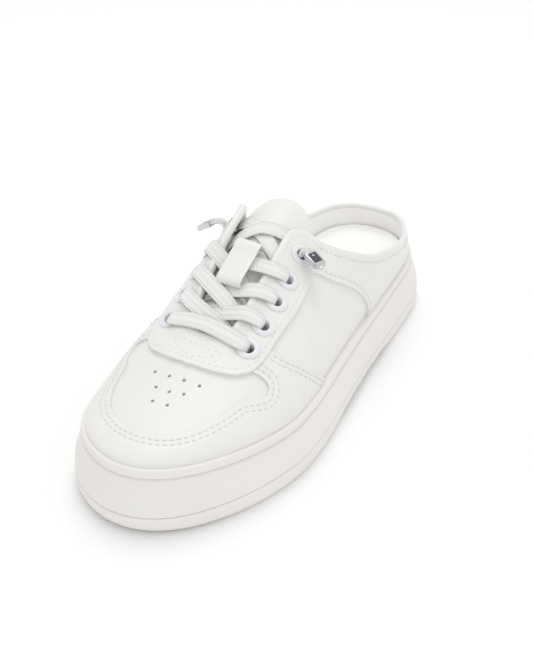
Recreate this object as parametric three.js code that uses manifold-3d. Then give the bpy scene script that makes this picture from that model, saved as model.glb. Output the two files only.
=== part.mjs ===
// A white backless lace-up trainer for the left foot, on a thick cup sole.
// Sizes are in millimetres. X points to the outer side of the foot, the toe points along -Y
// and Z is up. The origin is on the floor, under the middle of the shoe.

import * as THREE from "three";
import { mergeVertices } from "three/addons/utils/BufferGeometryUtils.js";
import Module from "manifold-3d";

const wasm = await Module();
wasm.setup();

// Sizes of the last
const lastLength = 262; // heel to toe, along the groove under the lip of the sole
const ballWidth = 95; // across the widest place, at the same groove
const instepHeight = 60; // from the lip up to the top of the throat

// Sizes of the sole
const soleHeight = 23.5; // floor to the groove, at the waist
const outsoleHeight = 9.7; // floor to the parting line
const lipHeight = 4.6; // the rounded strip above the groove
const wallFlare = 5; // how far the foot of the wall stands out past the groove
const archLift = 2.5; // how far the waist clears the floor
const toeSpring = 2; // how far the tip of the toe clears the floor
const treadDepth = 2.2;
const treadWidth = 3.4;
const treadPitch = 12;
const treadMargin = 9; // from the side of the sole to the end of a tread groove

// Leather and padding
const upperInset = 3; // from the groove in to the outer face of the upper
const upperWall = 1.8;
const overlayWall = 1.0;
const insoleThickness = 4;
const insoleDish = 2.2; // how far the edge of the insole turns up
const tongueWall = 3;

// Eyelets, lace and clips
const eyeletDiameter = 11;
const eyeletBore = 5.2;
const barrelWall = 0.5;
const flangeHeight = 1.1;
const laceWidth = 7.6;
const laceThickness = 1.5;
const laceEndDiameter = 3.2; // the lace gathered in an eyelet and at its end
const clipLength = 10;
const clipWidth = 6.2;
const clipThickness = 2.8;
const loopWidth = 13;
const loopThickness = 1.2;

const gap = 0.3; // between pieces that meet
const curvedGap = gap + 0.2; // between curved faces, whose flats must not touch
const layer = curvedGap + overlayWall; // from the upper to the outer face of an overlay
const loopTurn = 2; // once round the outline: heel, outer side, toe, inner side

// Colours
const leatherWhite = new THREE.MeshStandardMaterial({ color: "#ecebe6", roughness: 0.5 });
const soleCream = new THREE.MeshStandardMaterial({ color: "#e6e0d9", roughness: 0.65 });
const liningWhite = new THREE.MeshStandardMaterial({ color: "#f3f2ef", roughness: 0.7 });
const laceWhite = new THREE.MeshStandardMaterial({ color: "#efeeea", roughness: 0.85 });
const eyeletWhite = new THREE.MeshStandardMaterial({ color: "#e9e8f2", roughness: 0.35 });
const clipMetal = new THREE.MeshStandardMaterial({ color: "#8d8d8f", metalness: 1, roughness: 0.25 });

// A table is a list of rows with named columns, and between reads a column at any key
function table(columns, rows) {
  return rows.map((row) => Object.fromEntries(columns.map((name, i) => [name, row[i]])));
}

function slopeAt(rows, column, key, i) {
  const rate = (a) => (rows[a + 1][column] - rows[a][column]) / (rows[a + 1][key] - rows[a][key]);
  if (i === 0) return rate(0);
  if (i === rows.length - 1) return rate(i - 1);
  const before = rows[i][key] - rows[i - 1][key];
  const after = rows[i + 1][key] - rows[i][key];
  return (rate(i - 1) * after + rate(i) * before) / (before + after);
}

function between(rows, column, at, key) {
  let i = 0;
  while (i < rows.length - 2 && rows[i + 1][key] <= at) i += 1;
  const span = rows[i + 1][key] - rows[i][key];
  const t = (at - rows[i][key]) / span;
  const start = rows[i][column];
  const end = rows[i + 1][column];
  const leave = slopeAt(rows, column, key, i) * span;
  const arrive = slopeAt(rows, column, key, i + 1) * span;
  const cubic = 2 * start - 2 * end + leave + arrive;
  const square = 3 * end - 3 * start - 2 * leave - arrive;
  return ((cubic * t + square) * t + leave) * t + start;
}

// Outline of the last at the groove: widths each side of the axis, as shares of the ball
const outlineRows = table(["along", "outer", "inner"], [
  [0, 0, 0],
  [0.02, 0.203, 0.177],
  [0.06, 0.303, 0.274],
  [0.12, 0.362, 0.32],
  [0.2, 0.388, 0.326],
  [0.3, 0.409, 0.338],
  [0.42, 0.436, 0.368],
  [0.54, 0.475, 0.403],
  [0.66, 0.514, 0.465],
  [0.74, 0.516, 0.484],
  [0.81, 0.475, 0.458],
  [0.87, 0.412, 0.418],
  [0.92, 0.334, 0.36],
  [0.96, 0.246, 0.268],
  [0.985, 0.155, 0.163],
  [1, 0, 0],
]);
for (const row of outlineRows) row.turn = Math.acos(1 - 2 * row.along) / Math.PI;

// Height of the groove along the shoe, as shares of the sole's height at the waist
const grooveRows = table(["along", "height"], [
  [0, 1.128],
  [0.2, 1.072],
  [0.4, 0.987],
  [0.6, 0.987],
  [0.75, 1.013],
  [0.9, 1.106],
  [1, 1.17],
]);

// Opening edge of the upper: heel rim, collar, throat. Widths are shares of the ball, rises
// of the instep; fall is the slope there in degrees, lift and reach shape the side below it
const openingRows = table(
  ["turn", "along", "outer", "inner", "outerRise", "innerRise", "outerFall", "innerFall", "lift", "reach"],
  [
    [0, 0.02, 0.004, 0.004, 0.275, 0.275, 84, 84, 0.083, 0.042],
    [0.08, 0.029, 0.15, 0.14, 0.275, 0.275, 84, 84, 0.083, 0.042],
    [0.16, 0.068, 0.255, 0.235, 0.28, 0.28, 84, 84, 0.083, 0.042],
    [0.25, 0.148, 0.345, 0.29, 0.305, 0.305, 84, 84, 0.1, 0.053],
    [0.33, 0.25, 0.365, 0.305, 0.396, 0.396, 80, 80, 0.133, 0.074],
    [0.4, 0.335, 0.35, 0.325, 0.514, 0.535, 74, 76, 0.183, 0.105],
    [0.45, 0.394, 0.28, 0.305, 0.643, 0.693, 66, 72, 0.233, 0.147],
    [0.5, 0.438, 0.2, 0.265, 0.779, 0.872, 57, 66, 0.283, 0.19],
    [0.535, 0.46, 0.135, 0.225, 0.879, 0.987, 49, 60, 0.3, 0.2],
    [0.56, 0.482, 0.092, 0.2, 0.903, 0.994, 44, 56, 0.3, 0.2],
    [0.59, 0.53, 0.094, 0.19, 0.836, 0.915, 41, 51, 0.283, 0.2],
    [0.63, 0.585, 0.106, 0.17, 0.747, 0.8, 37, 45, 0.242, 0.2],
    [0.67, 0.645, 0.116, 0.15, 0.635, 0.664, 34, 38, 0.2, 0.19],
    [0.72, 0.695, 0.115, 0.135, 0.524, 0.53, 31, 32, 0.158, 0.19],
    [0.78, 0.718, 0.08, 0.1, 0.478, 0.482, 29, 29, 0.117, 0.242],
    [0.86, 0.7255, 0.04, 0.055, 0.466, 0.469, 28, 28, 0.1, 0.326],
    [1, 0.7265, -0.008, 0.008, 0.465, 0.465, 27, 27, 0.092, 0.4],
  ],
);

// The outline at a turn: 0 at the heel, 1 at the toe, 2 back at the heel by the inner side
function sideOf(turn) {
  const round = ((turn % loopTurn) + loopTurn) % loopTurn;
  const outer = round <= 1;
  return { outer, turn: outer ? round : loopTurn - round };
}

function outlineAt(turn) {
  const side = sideOf(turn);
  const along = (1 - Math.cos(Math.PI * side.turn)) / 2;
  const width = between(outlineRows, side.outer ? "outer" : "inner", side.turn, "turn") * ballWidth;
  return { x: side.outer ? width : -width, y: lastLength * (0.5 - along), along };
}

function outline(turn, inset) {
  const step = 2e-4;
  const here = outlineAt(turn);
  const before = outlineAt(turn - step);
  const after = outlineAt(turn + step);
  const length = Math.hypot(after.x - before.x, after.y - before.y);
  const nx = -(after.y - before.y) / length;
  const ny = (after.x - before.x) / length;
  return { x: here.x - nx * inset, y: here.y - ny * inset, nx, ny, along: here.along };
}

const grooveHeight = (along) => between(grooveRows, "height", along, "along") * soleHeight;
const lipTop = (along) => grooveHeight(along) + lipHeight;
const riseFrom = soleHeight + lipHeight;

// Opening edge of the upper at a turn
function opening(turn) {
  const side = sideOf(turn);
  const read = (column) => between(openingRows, column, side.turn, "turn");
  const name = side.outer ? "outer" : "inner";
  return {
    x: read(name) * ballWidth * (side.outer ? 1 : -1),
    y: lastLength * (0.5 - read("along")),
    z: riseFrom + read(`${name}Rise`) * instepHeight,
    fall: THREE.MathUtils.degToRad(read(`${name}Fall`)),
    lift: read("lift") * instepHeight,
    reach: read("reach") * ballWidth,
  };
}

// A point of the upper's outer face: rise 0 at the lip, 1 at the opening edge
const outwardLean = 0.6;
const toeBlend = 6;
function facePoint(turn, rise) {
  const foot = outline(turn, upperInset);
  const top = opening(turn);
  const dx = foot.x - top.x + toeBlend * foot.nx;
  const dy = foot.y - top.y + toeBlend * foot.ny;
  const run = (Math.cos(top.fall) * top.reach) / Math.hypot(dx, dy);
  const start = new THREE.Vector3(foot.x, foot.y, lipTop(foot.along));
  const end = new THREE.Vector3(top.x, top.y, top.z);
  const low = start.clone().add(new THREE.Vector3(foot.nx * outwardLean, foot.ny * outwardLean, top.lift));
  const high = end.clone().add(new THREE.Vector3(dx * run, dy * run, -Math.sin(top.fall) * top.reach));
  return new THREE.CubicBezierCurve3(start, low, high, end).getPoint(rise);
}

function faceNormal(turn, rise) {
  const step = 2e-3;
  const up = Math.min(rise + step, 1);
  const down = Math.max(rise - step, 0);
  const across = facePoint(turn + step, rise).sub(facePoint(turn - step, rise));
  const climb = facePoint(turn, up).sub(facePoint(turn, down));
  return climb.cross(across).normalize();
}

function uppers(turn, rise, offset) {
  return facePoint(turn, rise).addScaledVector(faceNormal(turn, rise), offset);
}

// The upper goes on below the lip, straight down to the floor of the cup
function upperSkirt(turn, offset) {
  const foot = outline(turn, upperInset - offset);
  return new THREE.Vector3(foot.x, foot.y, grooveHeight(foot.along) + gap);
}

// A closed solid from triangles given by their corners
function solid(triangles) {
  const positions = triangles.flat().flatMap((p) => [p.x, p.y, p.z]);
  const geometry = new THREE.BufferGeometry();
  geometry.setAttribute("position", new THREE.Float32BufferAttribute(positions, 3));
  return outward(mergeVertices(geometry, 1e-4));
}

function volumeOf(geometry) {
  const place = geometry.attributes.position;
  const index = geometry.index;
  const corner = (i) => new THREE.Vector3().fromBufferAttribute(place, index.getX(i));
  let six = 0;
  for (let i = 0; i < index.count; i += 3) {
    six += corner(i).dot(corner(i + 1).cross(corner(i + 2)));
  }
  return six / 6;
}

function outward(geometry) {
  const index = geometry.index.array;
  const kept = [];
  for (let i = 0; i < index.length; i += 3) {
    const [a, b, c] = [index[i], index[i + 1], index[i + 2]];
    if (a !== b && b !== c && a !== c) kept.push(a, b, c);
  }
  geometry.setIndex(kept);
  if (volumeOf(geometry) < 0) {
    for (let i = 0; i < kept.length; i += 3) [kept[i], kept[i + 1]] = [kept[i + 1], kept[i]];
    geometry.setIndex(kept);
  }
  geometry.computeVertexNormals();
  return geometry;
}

function quad(a, b, c, d) {
  return [[a, b, c], [a, c, d]];
}

// A wall between two sheets of points, sheet[column][row], round a loop or open at both ends
function wall(outside, inside, looped) {
  const triangles = [];
  const columns = outside.length;
  const rows = outside[0].length;
  const last = looped ? columns : columns - 1;
  for (let i = 0; i < last; i += 1) {
    const n = (i + 1) % columns;
    for (let j = 0; j < rows - 1; j += 1) {
      triangles.push(...quad(outside[i][j], outside[n][j], outside[n][j + 1], outside[i][j + 1]));
      triangles.push(...quad(inside[i][j + 1], inside[n][j + 1], inside[n][j], inside[i][j]));
    }
    triangles.push(...quad(outside[i][rows - 1], outside[n][rows - 1], inside[n][rows - 1], inside[i][rows - 1]));
    triangles.push(...quad(inside[i][0], inside[n][0], outside[n][0], outside[i][0]));
  }
  if (!looped) {
    const end = columns - 1;
    for (let j = 0; j < rows - 1; j += 1) {
      triangles.push(...quad(inside[0][j], outside[0][j], outside[0][j + 1], inside[0][j + 1]));
      triangles.push(...quad(outside[end][j], inside[end][j], inside[end][j + 1], outside[end][j + 1]));
    }
  }
  return solid(triangles);
}

// A body of rings from its underside up to its top, both ends closed from side to side
function ringed(rings) {
  const triangles = [];
  const count = rings[0].length;
  for (let r = 0; r < rings.length - 1; r += 1) {
    for (let i = 0; i < count; i += 1) {
      const n = (i + 1) % count;
      triangles.push(...quad(rings[r][i], rings[r][n], rings[r + 1][n], rings[r + 1][i]));
    }
  }
  for (const [ring, under] of [[rings[0], true], [rings.at(-1), false]]) {
    for (let i = 0; i < count / 2; i += 1) {
      const [a, b] = [ring[i], ring[i + 1]];
      const [c, d] = [ring[count - i - 1], ring[(count - i) % count]];
      triangles.push(...(under ? quad(d, c, b, a) : quad(a, b, c, d)));
    }
  }
  return solid(triangles);
}

// Joins and cuts
function toManifold(geometry) {
  const bare = new THREE.BufferGeometry();
  bare.setAttribute("position", geometry.attributes.position);
  bare.setIndex(geometry.index);
  const merged = mergeVertices(bare, 1e-4);
  return new wasm.Manifold(
    new wasm.Mesh({
      numProp: 3,
      vertProperties: new Float32Array(merged.attributes.position.array),
      triVerts: new Uint32Array(merged.index.array),
    }),
  );
}

function fromManifold(body) {
  const mesh = body.getMesh();
  const geometry = new THREE.BufferGeometry();
  geometry.setAttribute("position", new THREE.BufferAttribute(mesh.vertProperties, 3));
  geometry.setIndex(new THREE.BufferAttribute(mesh.triVerts, 1));
  geometry.computeVertexNormals();
  return geometry;
}

function cut(geometry, tools) {
  let body = toManifold(geometry);
  for (const tool of tools) body = body.subtract(toManifold(tool));
  return fromManifold(body);
}

function join(geometries) {
  let body = toManifold(geometries[0]);
  for (const other of geometries.slice(1)) body = body.add(toManifold(other));
  return fromManifold(body);
}

const shoe = new THREE.Group();
function add(name, geometry, material) {
  const mesh = new THREE.Mesh(geometry, material);
  mesh.name = name;
  shoe.add(mesh);
  return mesh;
}

const stations = (count) => Array.from({ length: count }, (_, i) => (loopTurn * i) / count);
const steps = (count) => Array.from({ length: count + 1 }, (_, i) => i / count);

// Sole: the bottom clears the floor under the waist and at the tip of the toe
const soleColumns = 64;
const heelFlatEnd = 0.24;
const archStart = 0.34;
const archEnd = 0.52;
const forefootFlatStart = 0.62;
const springStart = 0.8;
function floorLift(along) {
  const rise = THREE.MathUtils.smoothstep(along, heelFlatEnd, archStart);
  const drop = THREE.MathUtils.smoothstep(along, archEnd, forefootFlatStart);
  const spring = Math.max(0, (along - springStart) / (1 - springStart));
  return archLift * (rise - drop) + toeSpring * spring * spring;
}

// Rows of a side profile: stand is how far out past the groove, height along the wall
const outsoleRows = table(["stand", "height"], [
  [0.45, 0],
  [0.78, 0.1],
  [0.96, 0.35],
  [1, 0.7],
  [0.98, 1],
]);
const midsoleRows = table(["stand", "height"], [
  [0.97, 0],
  [0.86, 0.3],
  [0.58, 0.6],
  [0.26, 0.85],
  [0.1, 0.97],
]);

const outsoleRings = outsoleRows.map((row) =>
  stations(soleColumns).map((turn) => {
    const p = outline(turn, -row.stand * wallFlare);
    const lift = floorLift(p.along);
    return new THREE.Vector3(p.x, p.y, lift + row.height * (outsoleHeight - lift));
  }),
);

// Tread: cross grooves under the forefoot and the heel, between a rim that runs all round
const treadFields = table(["from", "to"], [
  [0.055, 0.23],
  [0.58, 0.92],
]);
function treadGroove(along) {
  const turn = Math.acos(1 - 2 * along) / Math.PI;
  const outer = outline(turn, treadMargin).x;
  const inner = outline(loopTurn - turn, treadMargin).x;
  const depth = treadDepth + floorLift(along);
  const groove = new THREE.BoxGeometry(outer - inner, treadWidth, 2 * depth);
  groove.translate((outer + inner) / 2, lastLength * (0.5 - along), 0);
  return groove;
}
const treadGrooves = treadFields.flatMap((field) => {
  const count = Math.floor(((field.to - field.from) * lastLength) / treadPitch);
  const share = (field.to - field.from) / count;
  return Array.from({ length: count }, (_, i) => treadGroove(field.from + share * (i + 0.5)));
});
add("outsole", cut(ringed(outsoleRings), treadGrooves), soleCream);

// Midsole: the wall, the groove, the rounded lip, and the cup that takes the upper
const grooveDepth = 0.8;
const lipStand = 0.6;
const lipRows = table(["stand", "height"], [
  [0.6, 0.14],
  [1, 0.45],
  [0.2, 0.82],
  [-2.2, 1],
]);
const cupInset = upperInset - gap;
const partingLine = outsoleHeight + gap;
function midsoleRing(place) {
  return stations(soleColumns).map((turn) => {
    const along = outlineAt(turn).along;
    const { inset, height } = place(along);
    const p = outline(turn, inset);
    return new THREE.Vector3(p.x, p.y, height);
  });
}
const midsoleRings = [
  ...midsoleRows.map((row) =>
    midsoleRing((along) => ({
      inset: -row.stand * wallFlare,
      height: partingLine + row.height * (grooveHeight(along) - partingLine),
    })),
  ),
  midsoleRing((along) => ({ inset: grooveDepth, height: grooveHeight(along) })),
  ...lipRows.map((row) =>
    midsoleRing((along) => ({
      inset: -row.stand * lipStand,
      height: grooveHeight(along) + row.height * lipHeight,
    })),
  ),
  midsoleRing((along) => ({ inset: cupInset, height: lipTop(along) - gap })),
  midsoleRing((along) => ({ inset: cupInset, height: grooveHeight(along) })),
];
add("midsole", ringed(midsoleRings), soleCream);

// Insole: a padded bed inside the upper, its edge turned up
const insoleEdge = upperInset + upperWall + gap;
const dishEnd = 0.55; // the edge lies flat from here to the toe, as a share of the length
const insoleRows = table(["inset", "height", "dish"], [
  [0.6, 0, 0],
  [0, 0.25, 0],
  [0.3, 0.8, 0.8],
  [1.8, 1, 1],
  [5, 1, 0.35],
  [11, 1, 0],
]);
const insoleRings = insoleRows.map((row) =>
  stations(soleColumns).map((turn) => {
    const p = outline(turn, insoleEdge + row.inset);
    const under = grooveHeight(p.along) + gap;
    const dish = insoleDish * (1 - THREE.MathUtils.smoothstep(p.along, dishEnd / 2, dishEnd));
    return new THREE.Vector3(p.x, p.y, under + row.height * insoleThickness + row.dish * dish);
  }),
);
add("insole", ringed(insoleRings), liningWhite);

// Eyelets: five pairs along the throat
const eyeletRows = table(["outerTurn", "outerRise", "innerTurn", "innerRise"], [
  [0.706, 0.757, 0.697, 0.757],
  [0.665, 0.765, 0.66, 0.79],
  [0.631, 0.781, 0.628, 0.8],
  [0.595, 0.79, 0.591, 0.8],
  [0.557, 0.818, 0.55, 0.82],
]);
const eyelets = eyeletRows.flatMap((row, i) => [
  { name: `lateral_${i + 1}`, turn: row.outerTurn, rise: row.outerRise },
  { name: `medial_${i + 1}`, turn: loopTurn - row.innerTurn, rise: row.innerRise },
]);
const barrelRadius = eyeletBore / 2 + barrelWall;
const holeRadius = barrelRadius + curvedGap;
const up = new THREE.Vector3(0, 0, 1);
function onUpper(geometry, spot, offset) {
  const normal = faceNormal(spot.turn, spot.rise);
  const turned = geometry.applyQuaternion(new THREE.Quaternion().setFromUnitVectors(up, normal));
  const at = uppers(spot.turn, spot.rise, offset);
  return turned.translate(at.x, at.y, at.z);
}
function eyeletHole(spot) {
  const reach = 4 * (upperWall + layer);
  const tool = new THREE.CylinderGeometry(holeRadius, holeRadius, reach, 10);
  return onUpper(mergedTool(tool.rotateX(Math.PI / 2)), spot, 0);
}
function mergedTool(geometry) {
  geometry.deleteAttribute("normal");
  geometry.deleteAttribute("uv");
  return mergeVertices(geometry, 1e-4);
}

// Upper: one hollow wall from the floor of the cup to the opening edge
const upperColumns = 64;
const upperRiseSteps = 9;
function upperSheet(offset) {
  return stations(upperColumns).map((turn) => [
    upperSkirt(turn, offset),
    ...steps(upperRiseSteps).map((rise) => uppers(turn, rise, offset)),
  ]);
}
const upperSolid = wall(upperSheet(0), upperSheet(-upperWall), true);
add("upper", cut(upperSolid, eyelets.map(eyeletHole)), leatherWhite);

// Overlays are patches of the upper's own face, a layer above it. Each column of a patch
// runs from its foot to its head, both given as a turn and a rise on the upper.
function patch(columns, rowCount, inner, outer) {
  const sheet = (offset) =>
    columns.map((column) =>
      steps(rowCount).map((share) => {
        const turn = THREE.MathUtils.lerp(column.footTurn, column.headTurn, share);
        const rise = THREE.MathUtils.lerp(column.footRise, column.headRise, share);
        return uppers(turn, rise, offset);
      }),
    );
  return wall(sheet(outer), sheet(inner), false);
}

function columnsFrom(rows, count, names) {
  const keyed = rows.map((row, i) => ({ ...row, order: i }));
  return steps(count).map((share) => {
    const at = share * (rows.length - 1);
    return Object.fromEntries(names.map((name) => [name, between(keyed, name, at, "order")]));
  });
}

// Both sides of a patch: the outer side's rows, then the same rows for the inner side
function mirrored(rows, turns) {
  const flip = (row) => {
    const other = { ...row };
    for (const name of turns) other[name] = loopTurn - row[name];
    return other;
  };
  return [...rows, ...rows.slice(0, -1).reverse().map(flip)];
}
const patchColumns = ["footTurn", "footRise", "headTurn", "headRise"];

// Toe guard: from the side seam round the toe, its head is the raised edge with the wings
const lipClear = 0.035;
const guardRows = table(patchColumns, [
  [0.563, lipClear, 0.664, 0.575],
  [0.6, lipClear, 0.683, 0.568],
  [0.635, lipClear, 0.703, 0.575],
  [0.66, lipClear, 0.699, 0.52],
  [0.675, lipClear, 0.69, 0.43],
  [0.69, lipClear, 0.694, 0.385],
  [0.705, lipClear, 0.706, 0.365],
  [0.722, lipClear, 0.722, 0.405],
  [0.745, lipClear, 0.745, 0.45],
  [0.775, lipClear, 0.775, 0.44],
  [0.817, lipClear, 0.817, 0.412],
  [0.87, lipClear, 0.87, 0.386],
  [0.935, lipClear, 0.935, 0.38],
  [1, lipClear, 1, 0.4],
]);
const guardColumns = columnsFrom(mirrored(guardRows, ["footTurn", "headTurn"]), 52, patchColumns);
add("toe_guard", patch(guardColumns, 4, curvedGap, layer), leatherWhite);

// Eyestay: the band round the throat, from its stitched outer edge to the throat edge
const stayRows = table(patchColumns, [
  [0.508, 0.955, 0.508, 0.99],
  [0.525, 0.84, 0.525, 0.995],
  [0.549, 0.69, 0.545, 1],
  [0.565, 0.622, 0.565, 1],
  [0.594, 0.6, 0.594, 1],
  [0.64, 0.61, 0.64, 1],
  [0.683, 0.594, 0.683, 1],
  [0.71, 0.602, 0.72, 1],
  [0.736, 0.65, 0.76, 1],
  [0.8, 0.762, 0.82, 1],
  [0.88, 0.825, 0.9, 1],
  [1, 0.845, 1, 1],
]);
const stayColumns = columnsFrom(mirrored(stayRows, ["footTurn", "headTurn"]), 42, patchColumns);
const staySolid = patch(stayColumns, 2, curvedGap, layer + gap);
add("eyestay", cut(staySolid, eyelets.map(eyeletHole)), leatherWhite);

// Heel panel: round the back of the foot from one curved front edge to the other
const heelRows = table(patchColumns, [
  [0.535, 0.7, 0.535, 0.735],
  [0.506, 0.675, 0.515, 0.87],
  [0.47, 0.62, 0.497, 0.97],
  [0.448, 0.545, 0.475, 1],
  [0.43, 0.42, 0.455, 1],
  [0.415, 0.256, 0.435, 1],
  [0.408, 0.12, 0.42, 1],
  [0.4, lipClear, 0.4, 1],
  [0.34, lipClear, 0.34, 1],
  [0.27, lipClear, 0.27, 1],
  [0.18, lipClear, 0.18, 1],
  [0.09, lipClear, 0.09, 1],
  [0, lipClear, 0, 1],
]);
const heelMirrored = mirrored(heelRows, []).map((row, i) =>
  i < heelRows.length ? row : { ...row, footTurn: -row.footTurn, headTurn: -row.headTurn },
);
add("heel_panel", patch(columnsFrom(heelMirrored, 40, patchColumns), 4, curvedGap, layer), leatherWhite);

// Tongue: a padded strap under the throat; widths are shares of the ball, rises of the
// instep, and each side hangs below the crown by its own drop
const tongueRows = table(
  ["along", "centre", "outer", "inner", "crown", "outerDrop", "innerDrop"],
  [
    [0.39, -0.06, 0.11, 0.11, 1.005, 0.05, 0.05],
    [0.405, -0.06, 0.165, 0.17, 1.01, 0.16, 0.12],
    [0.44, -0.055, 0.205, 0.2, 0.99, 0.27, 0.19],
    [0.5, -0.045, 0.23, 0.215, 0.92, 0.335, 0.225],
    [0.54, -0.037, 0.24, 0.225, 0.855, 0.345, 0.24],
    [0.575, -0.03, 0.25, 0.24, 0.79, 0.335, 0.255],
    [0.65, -0.02, 0.25, 0.25, 0.61, 0.235, 0.19],
    [0.705, -0.012, 0.225, 0.225, 0.455, 0.125, 0.11],
    [0.735, -0.01, 0.19, 0.19, 0.375, 0.065, 0.06],
    [0.765, -0.01, 0.13, 0.13, 0.31, 0.035, 0.035],
  ],
);
const sagPower = 2.2;
function tongueRead(column, along) {
  return between(tongueRows, column, along, "along");
}
function tongueTop(along, across) {
  const side = across > 0 ? "outer" : "inner";
  const x = (tongueRead("centre", along) + across * tongueRead(side, along)) * ballWidth;
  const sag = tongueRead(`${side}Drop`, along) * Math.abs(across) ** sagPower;
  const z = riseFrom + (tongueRead("crown", along) - sag) * instepHeight;
  return new THREE.Vector3(x, lastLength * (0.5 - along), z);
}
const tongueSteps = 14;
const tongueAcross = 8;
function tongueSheet(offset) {
  const back = tongueRows[0].along;
  const front = tongueRows.at(-1).along;
  return steps(tongueSteps).map((share) => {
    const along = THREE.MathUtils.lerp(front, back, share);
    return steps(tongueAcross).map((side) => {
      const across = 2 * side - 1;
      const step = 0.01;
      const run = tongueTop(along - step, across).sub(tongueTop(along + step, across));
      const over = tongueTop(along, across + step).sub(tongueTop(along, across - step));
      return tongueTop(along, across).addScaledVector(over.cross(run).normalize(), offset);
    });
  });
}
add("tongue", wall(tongueSheet(0), tongueSheet(-tongueWall), false), leatherWhite);

// Each eyelet is a turned ring: a domed flange on the eyestay and a barrel through both walls
const stayFace = layer + gap;
function eyeletRing(spot) {
  const seat = stayFace + gap;
  const profile = [
    [eyeletBore / 2, -upperWall],
    [barrelRadius, -upperWall],
    [barrelRadius, seat],
    [eyeletDiameter / 2, seat],
    [eyeletDiameter / 2 - 0.9, seat + flangeHeight],
    [eyeletBore / 2, seat + flangeHeight],
    [eyeletBore / 2, -upperWall],
  ].map(([radius, height]) => new THREE.Vector2(radius, height));
  const ring = mergedTool(new THREE.LatheGeometry(profile, 10).rotateX(Math.PI / 2));
  return onUpper(outward(ring), spot, 0);
}
for (const spot of eyelets) add(`eyelet_${spot.name}`, eyeletRing(spot), eyeletWhite);

// A flat band along stops, each with the middle of the band and the way its face looks
function band(stops, width, thickness, count) {
  const path = new THREE.CatmullRomCurve3(stops.map((stop) => stop.at), false, "centripetal");
  const looks = new THREE.CatmullRomCurve3(stops.map((stop) => stop.look));
  const rounding = thickness / 2;
  const section = [
    [1, 0, -0.5],
    [1, 0, 0.5],
    [1, -1, 1],
    [-1, 1, 1],
    [-1, 0, 0.5],
    [-1, 0, -0.5],
    [-1, 1, -1],
    [1, -1, -1],
  ];
  const rings = steps(count).map((share) => {
    const run = path.getTangent(share);
    const across = run.clone().cross(looks.getPoint(share)).normalize();
    const face = across.clone().cross(run).normalize();
    return section.map(([side, inwards, height]) =>
      path
        .getPoint(share)
        .addScaledVector(across, (side * width) / 2 + inwards * rounding)
        .addScaledVector(face, height * rounding),
    );
  });
  return ringed(rings);
}

// Lace: a straight bar, then crossings. A strand comes out from under one side of the throat,
// passes over the other side and ends on the next eyelet there.
const laceLift = gap + laceThickness / 2;
const onTongueLift = laceLift + 0.6;
const overStay = stayFace + laceLift + 1.4;
const overEyelet = stayFace + gap + flangeHeight + laceLift + 0.2;
const startInset = 3.4;
function onTongue(x, y, offset) {
  const along = 0.5 - y / lastLength;
  const from = x / ballWidth - tongueRead("centre", along);
  const across = from / tongueRead(from > 0 ? "outer" : "inner", along);
  const step = 0.01;
  const run = tongueTop(along - step, across).sub(tongueTop(along + step, across));
  const over = tongueTop(along, across + step).sub(tongueTop(along, across - step));
  const look = over.cross(run).normalize();
  return { at: tongueTop(along, across).addScaledVector(look, offset), look };
}
function overUpper(turn, rise, offset) {
  return { at: uppers(turn, rise, offset), look: faceNormal(turn, rise) };
}
function strand(from, to, rise, early) {
  const slant = 0.8;
  const shift = sideOf(from.turn).turn - sideOf(to.turn).turn;
  const edgeTurn = to.turn + slant * (to.turn > 1 ? -shift : shift);
  const start = facePoint(from.turn + early * (from.turn > 1 ? -shift : shift), 1);
  const edge = facePoint(edgeTurn, 1);
  const inwards = start.x > 0 ? -startInset : startInset;
  const share = (k) => [
    THREE.MathUtils.lerp(start.x + inwards, edge.x, k),
    THREE.MathUtils.lerp(start.y, edge.y, k),
  ];
  return [
    onTongue(...share(0), onTongueLift),
    onTongue(...share(0.3), onTongueLift + rise / 2),
    onTongue(...share(0.6), onTongueLift + rise),
    overUpper(edgeTurn, 1, overStay),
    overUpper((edgeTurn + to.turn) / 2, (1 + to.rise) / 2, overEyelet),
    overUpper(to.turn, to.rise, overEyelet),
  ];
}
const laceSteps = 9;
const at = (name) => eyelets.find((spot) => spot.name === name);
const firstOuter = at("lateral_1");
const firstInner = at("medial_1");
const barTurn = 0.764; // where the bar passes the two corners of the throat
const barHeight = 6.6;
const barMiddle = facePoint(firstOuter.turn, firstOuter.rise).lerp(facePoint(firstInner.turn, firstInner.rise), 0.5);
const bar = [
  overUpper(firstInner.turn, firstInner.rise, overEyelet),
  overUpper(loopTurn - barTurn, 1, overEyelet),
  { at: barMiddle.addScaledVector(up, barHeight), look: up },
  overUpper(barTurn, 1, overEyelet),
  overUpper(firstOuter.turn, firstOuter.rise, overEyelet),
];
add("lace_bar", band(bar, laceWidth, laceThickness, laceSteps), laceWhite);

// Early is how far toward the toe a strand comes out, as a share of the way between eyelets
const crossings = table(["number", "height", "earlyToInner", "earlyToOuter"], [
  [1, 1.8, 0.15, -0.15],
  [2, 2.4, 0.25, 0.1],
  [3, 2.4, 0.4, 0.2],
]);
for (const { number, height, earlyToInner, earlyToOuter } of crossings) {
  const toInner = strand(at(`lateral_${number}`), at(`medial_${number + 1}`), height, earlyToInner);
  const toOuter = strand(at(`medial_${number}`), at(`lateral_${number + 1}`), height, earlyToOuter);
  const bands = [toInner, toOuter].map((stops) => band(stops, laceWidth, laceThickness, laceSteps));
  add(`lace_cross_${number}`, join(bands), laceWhite);
}

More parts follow.
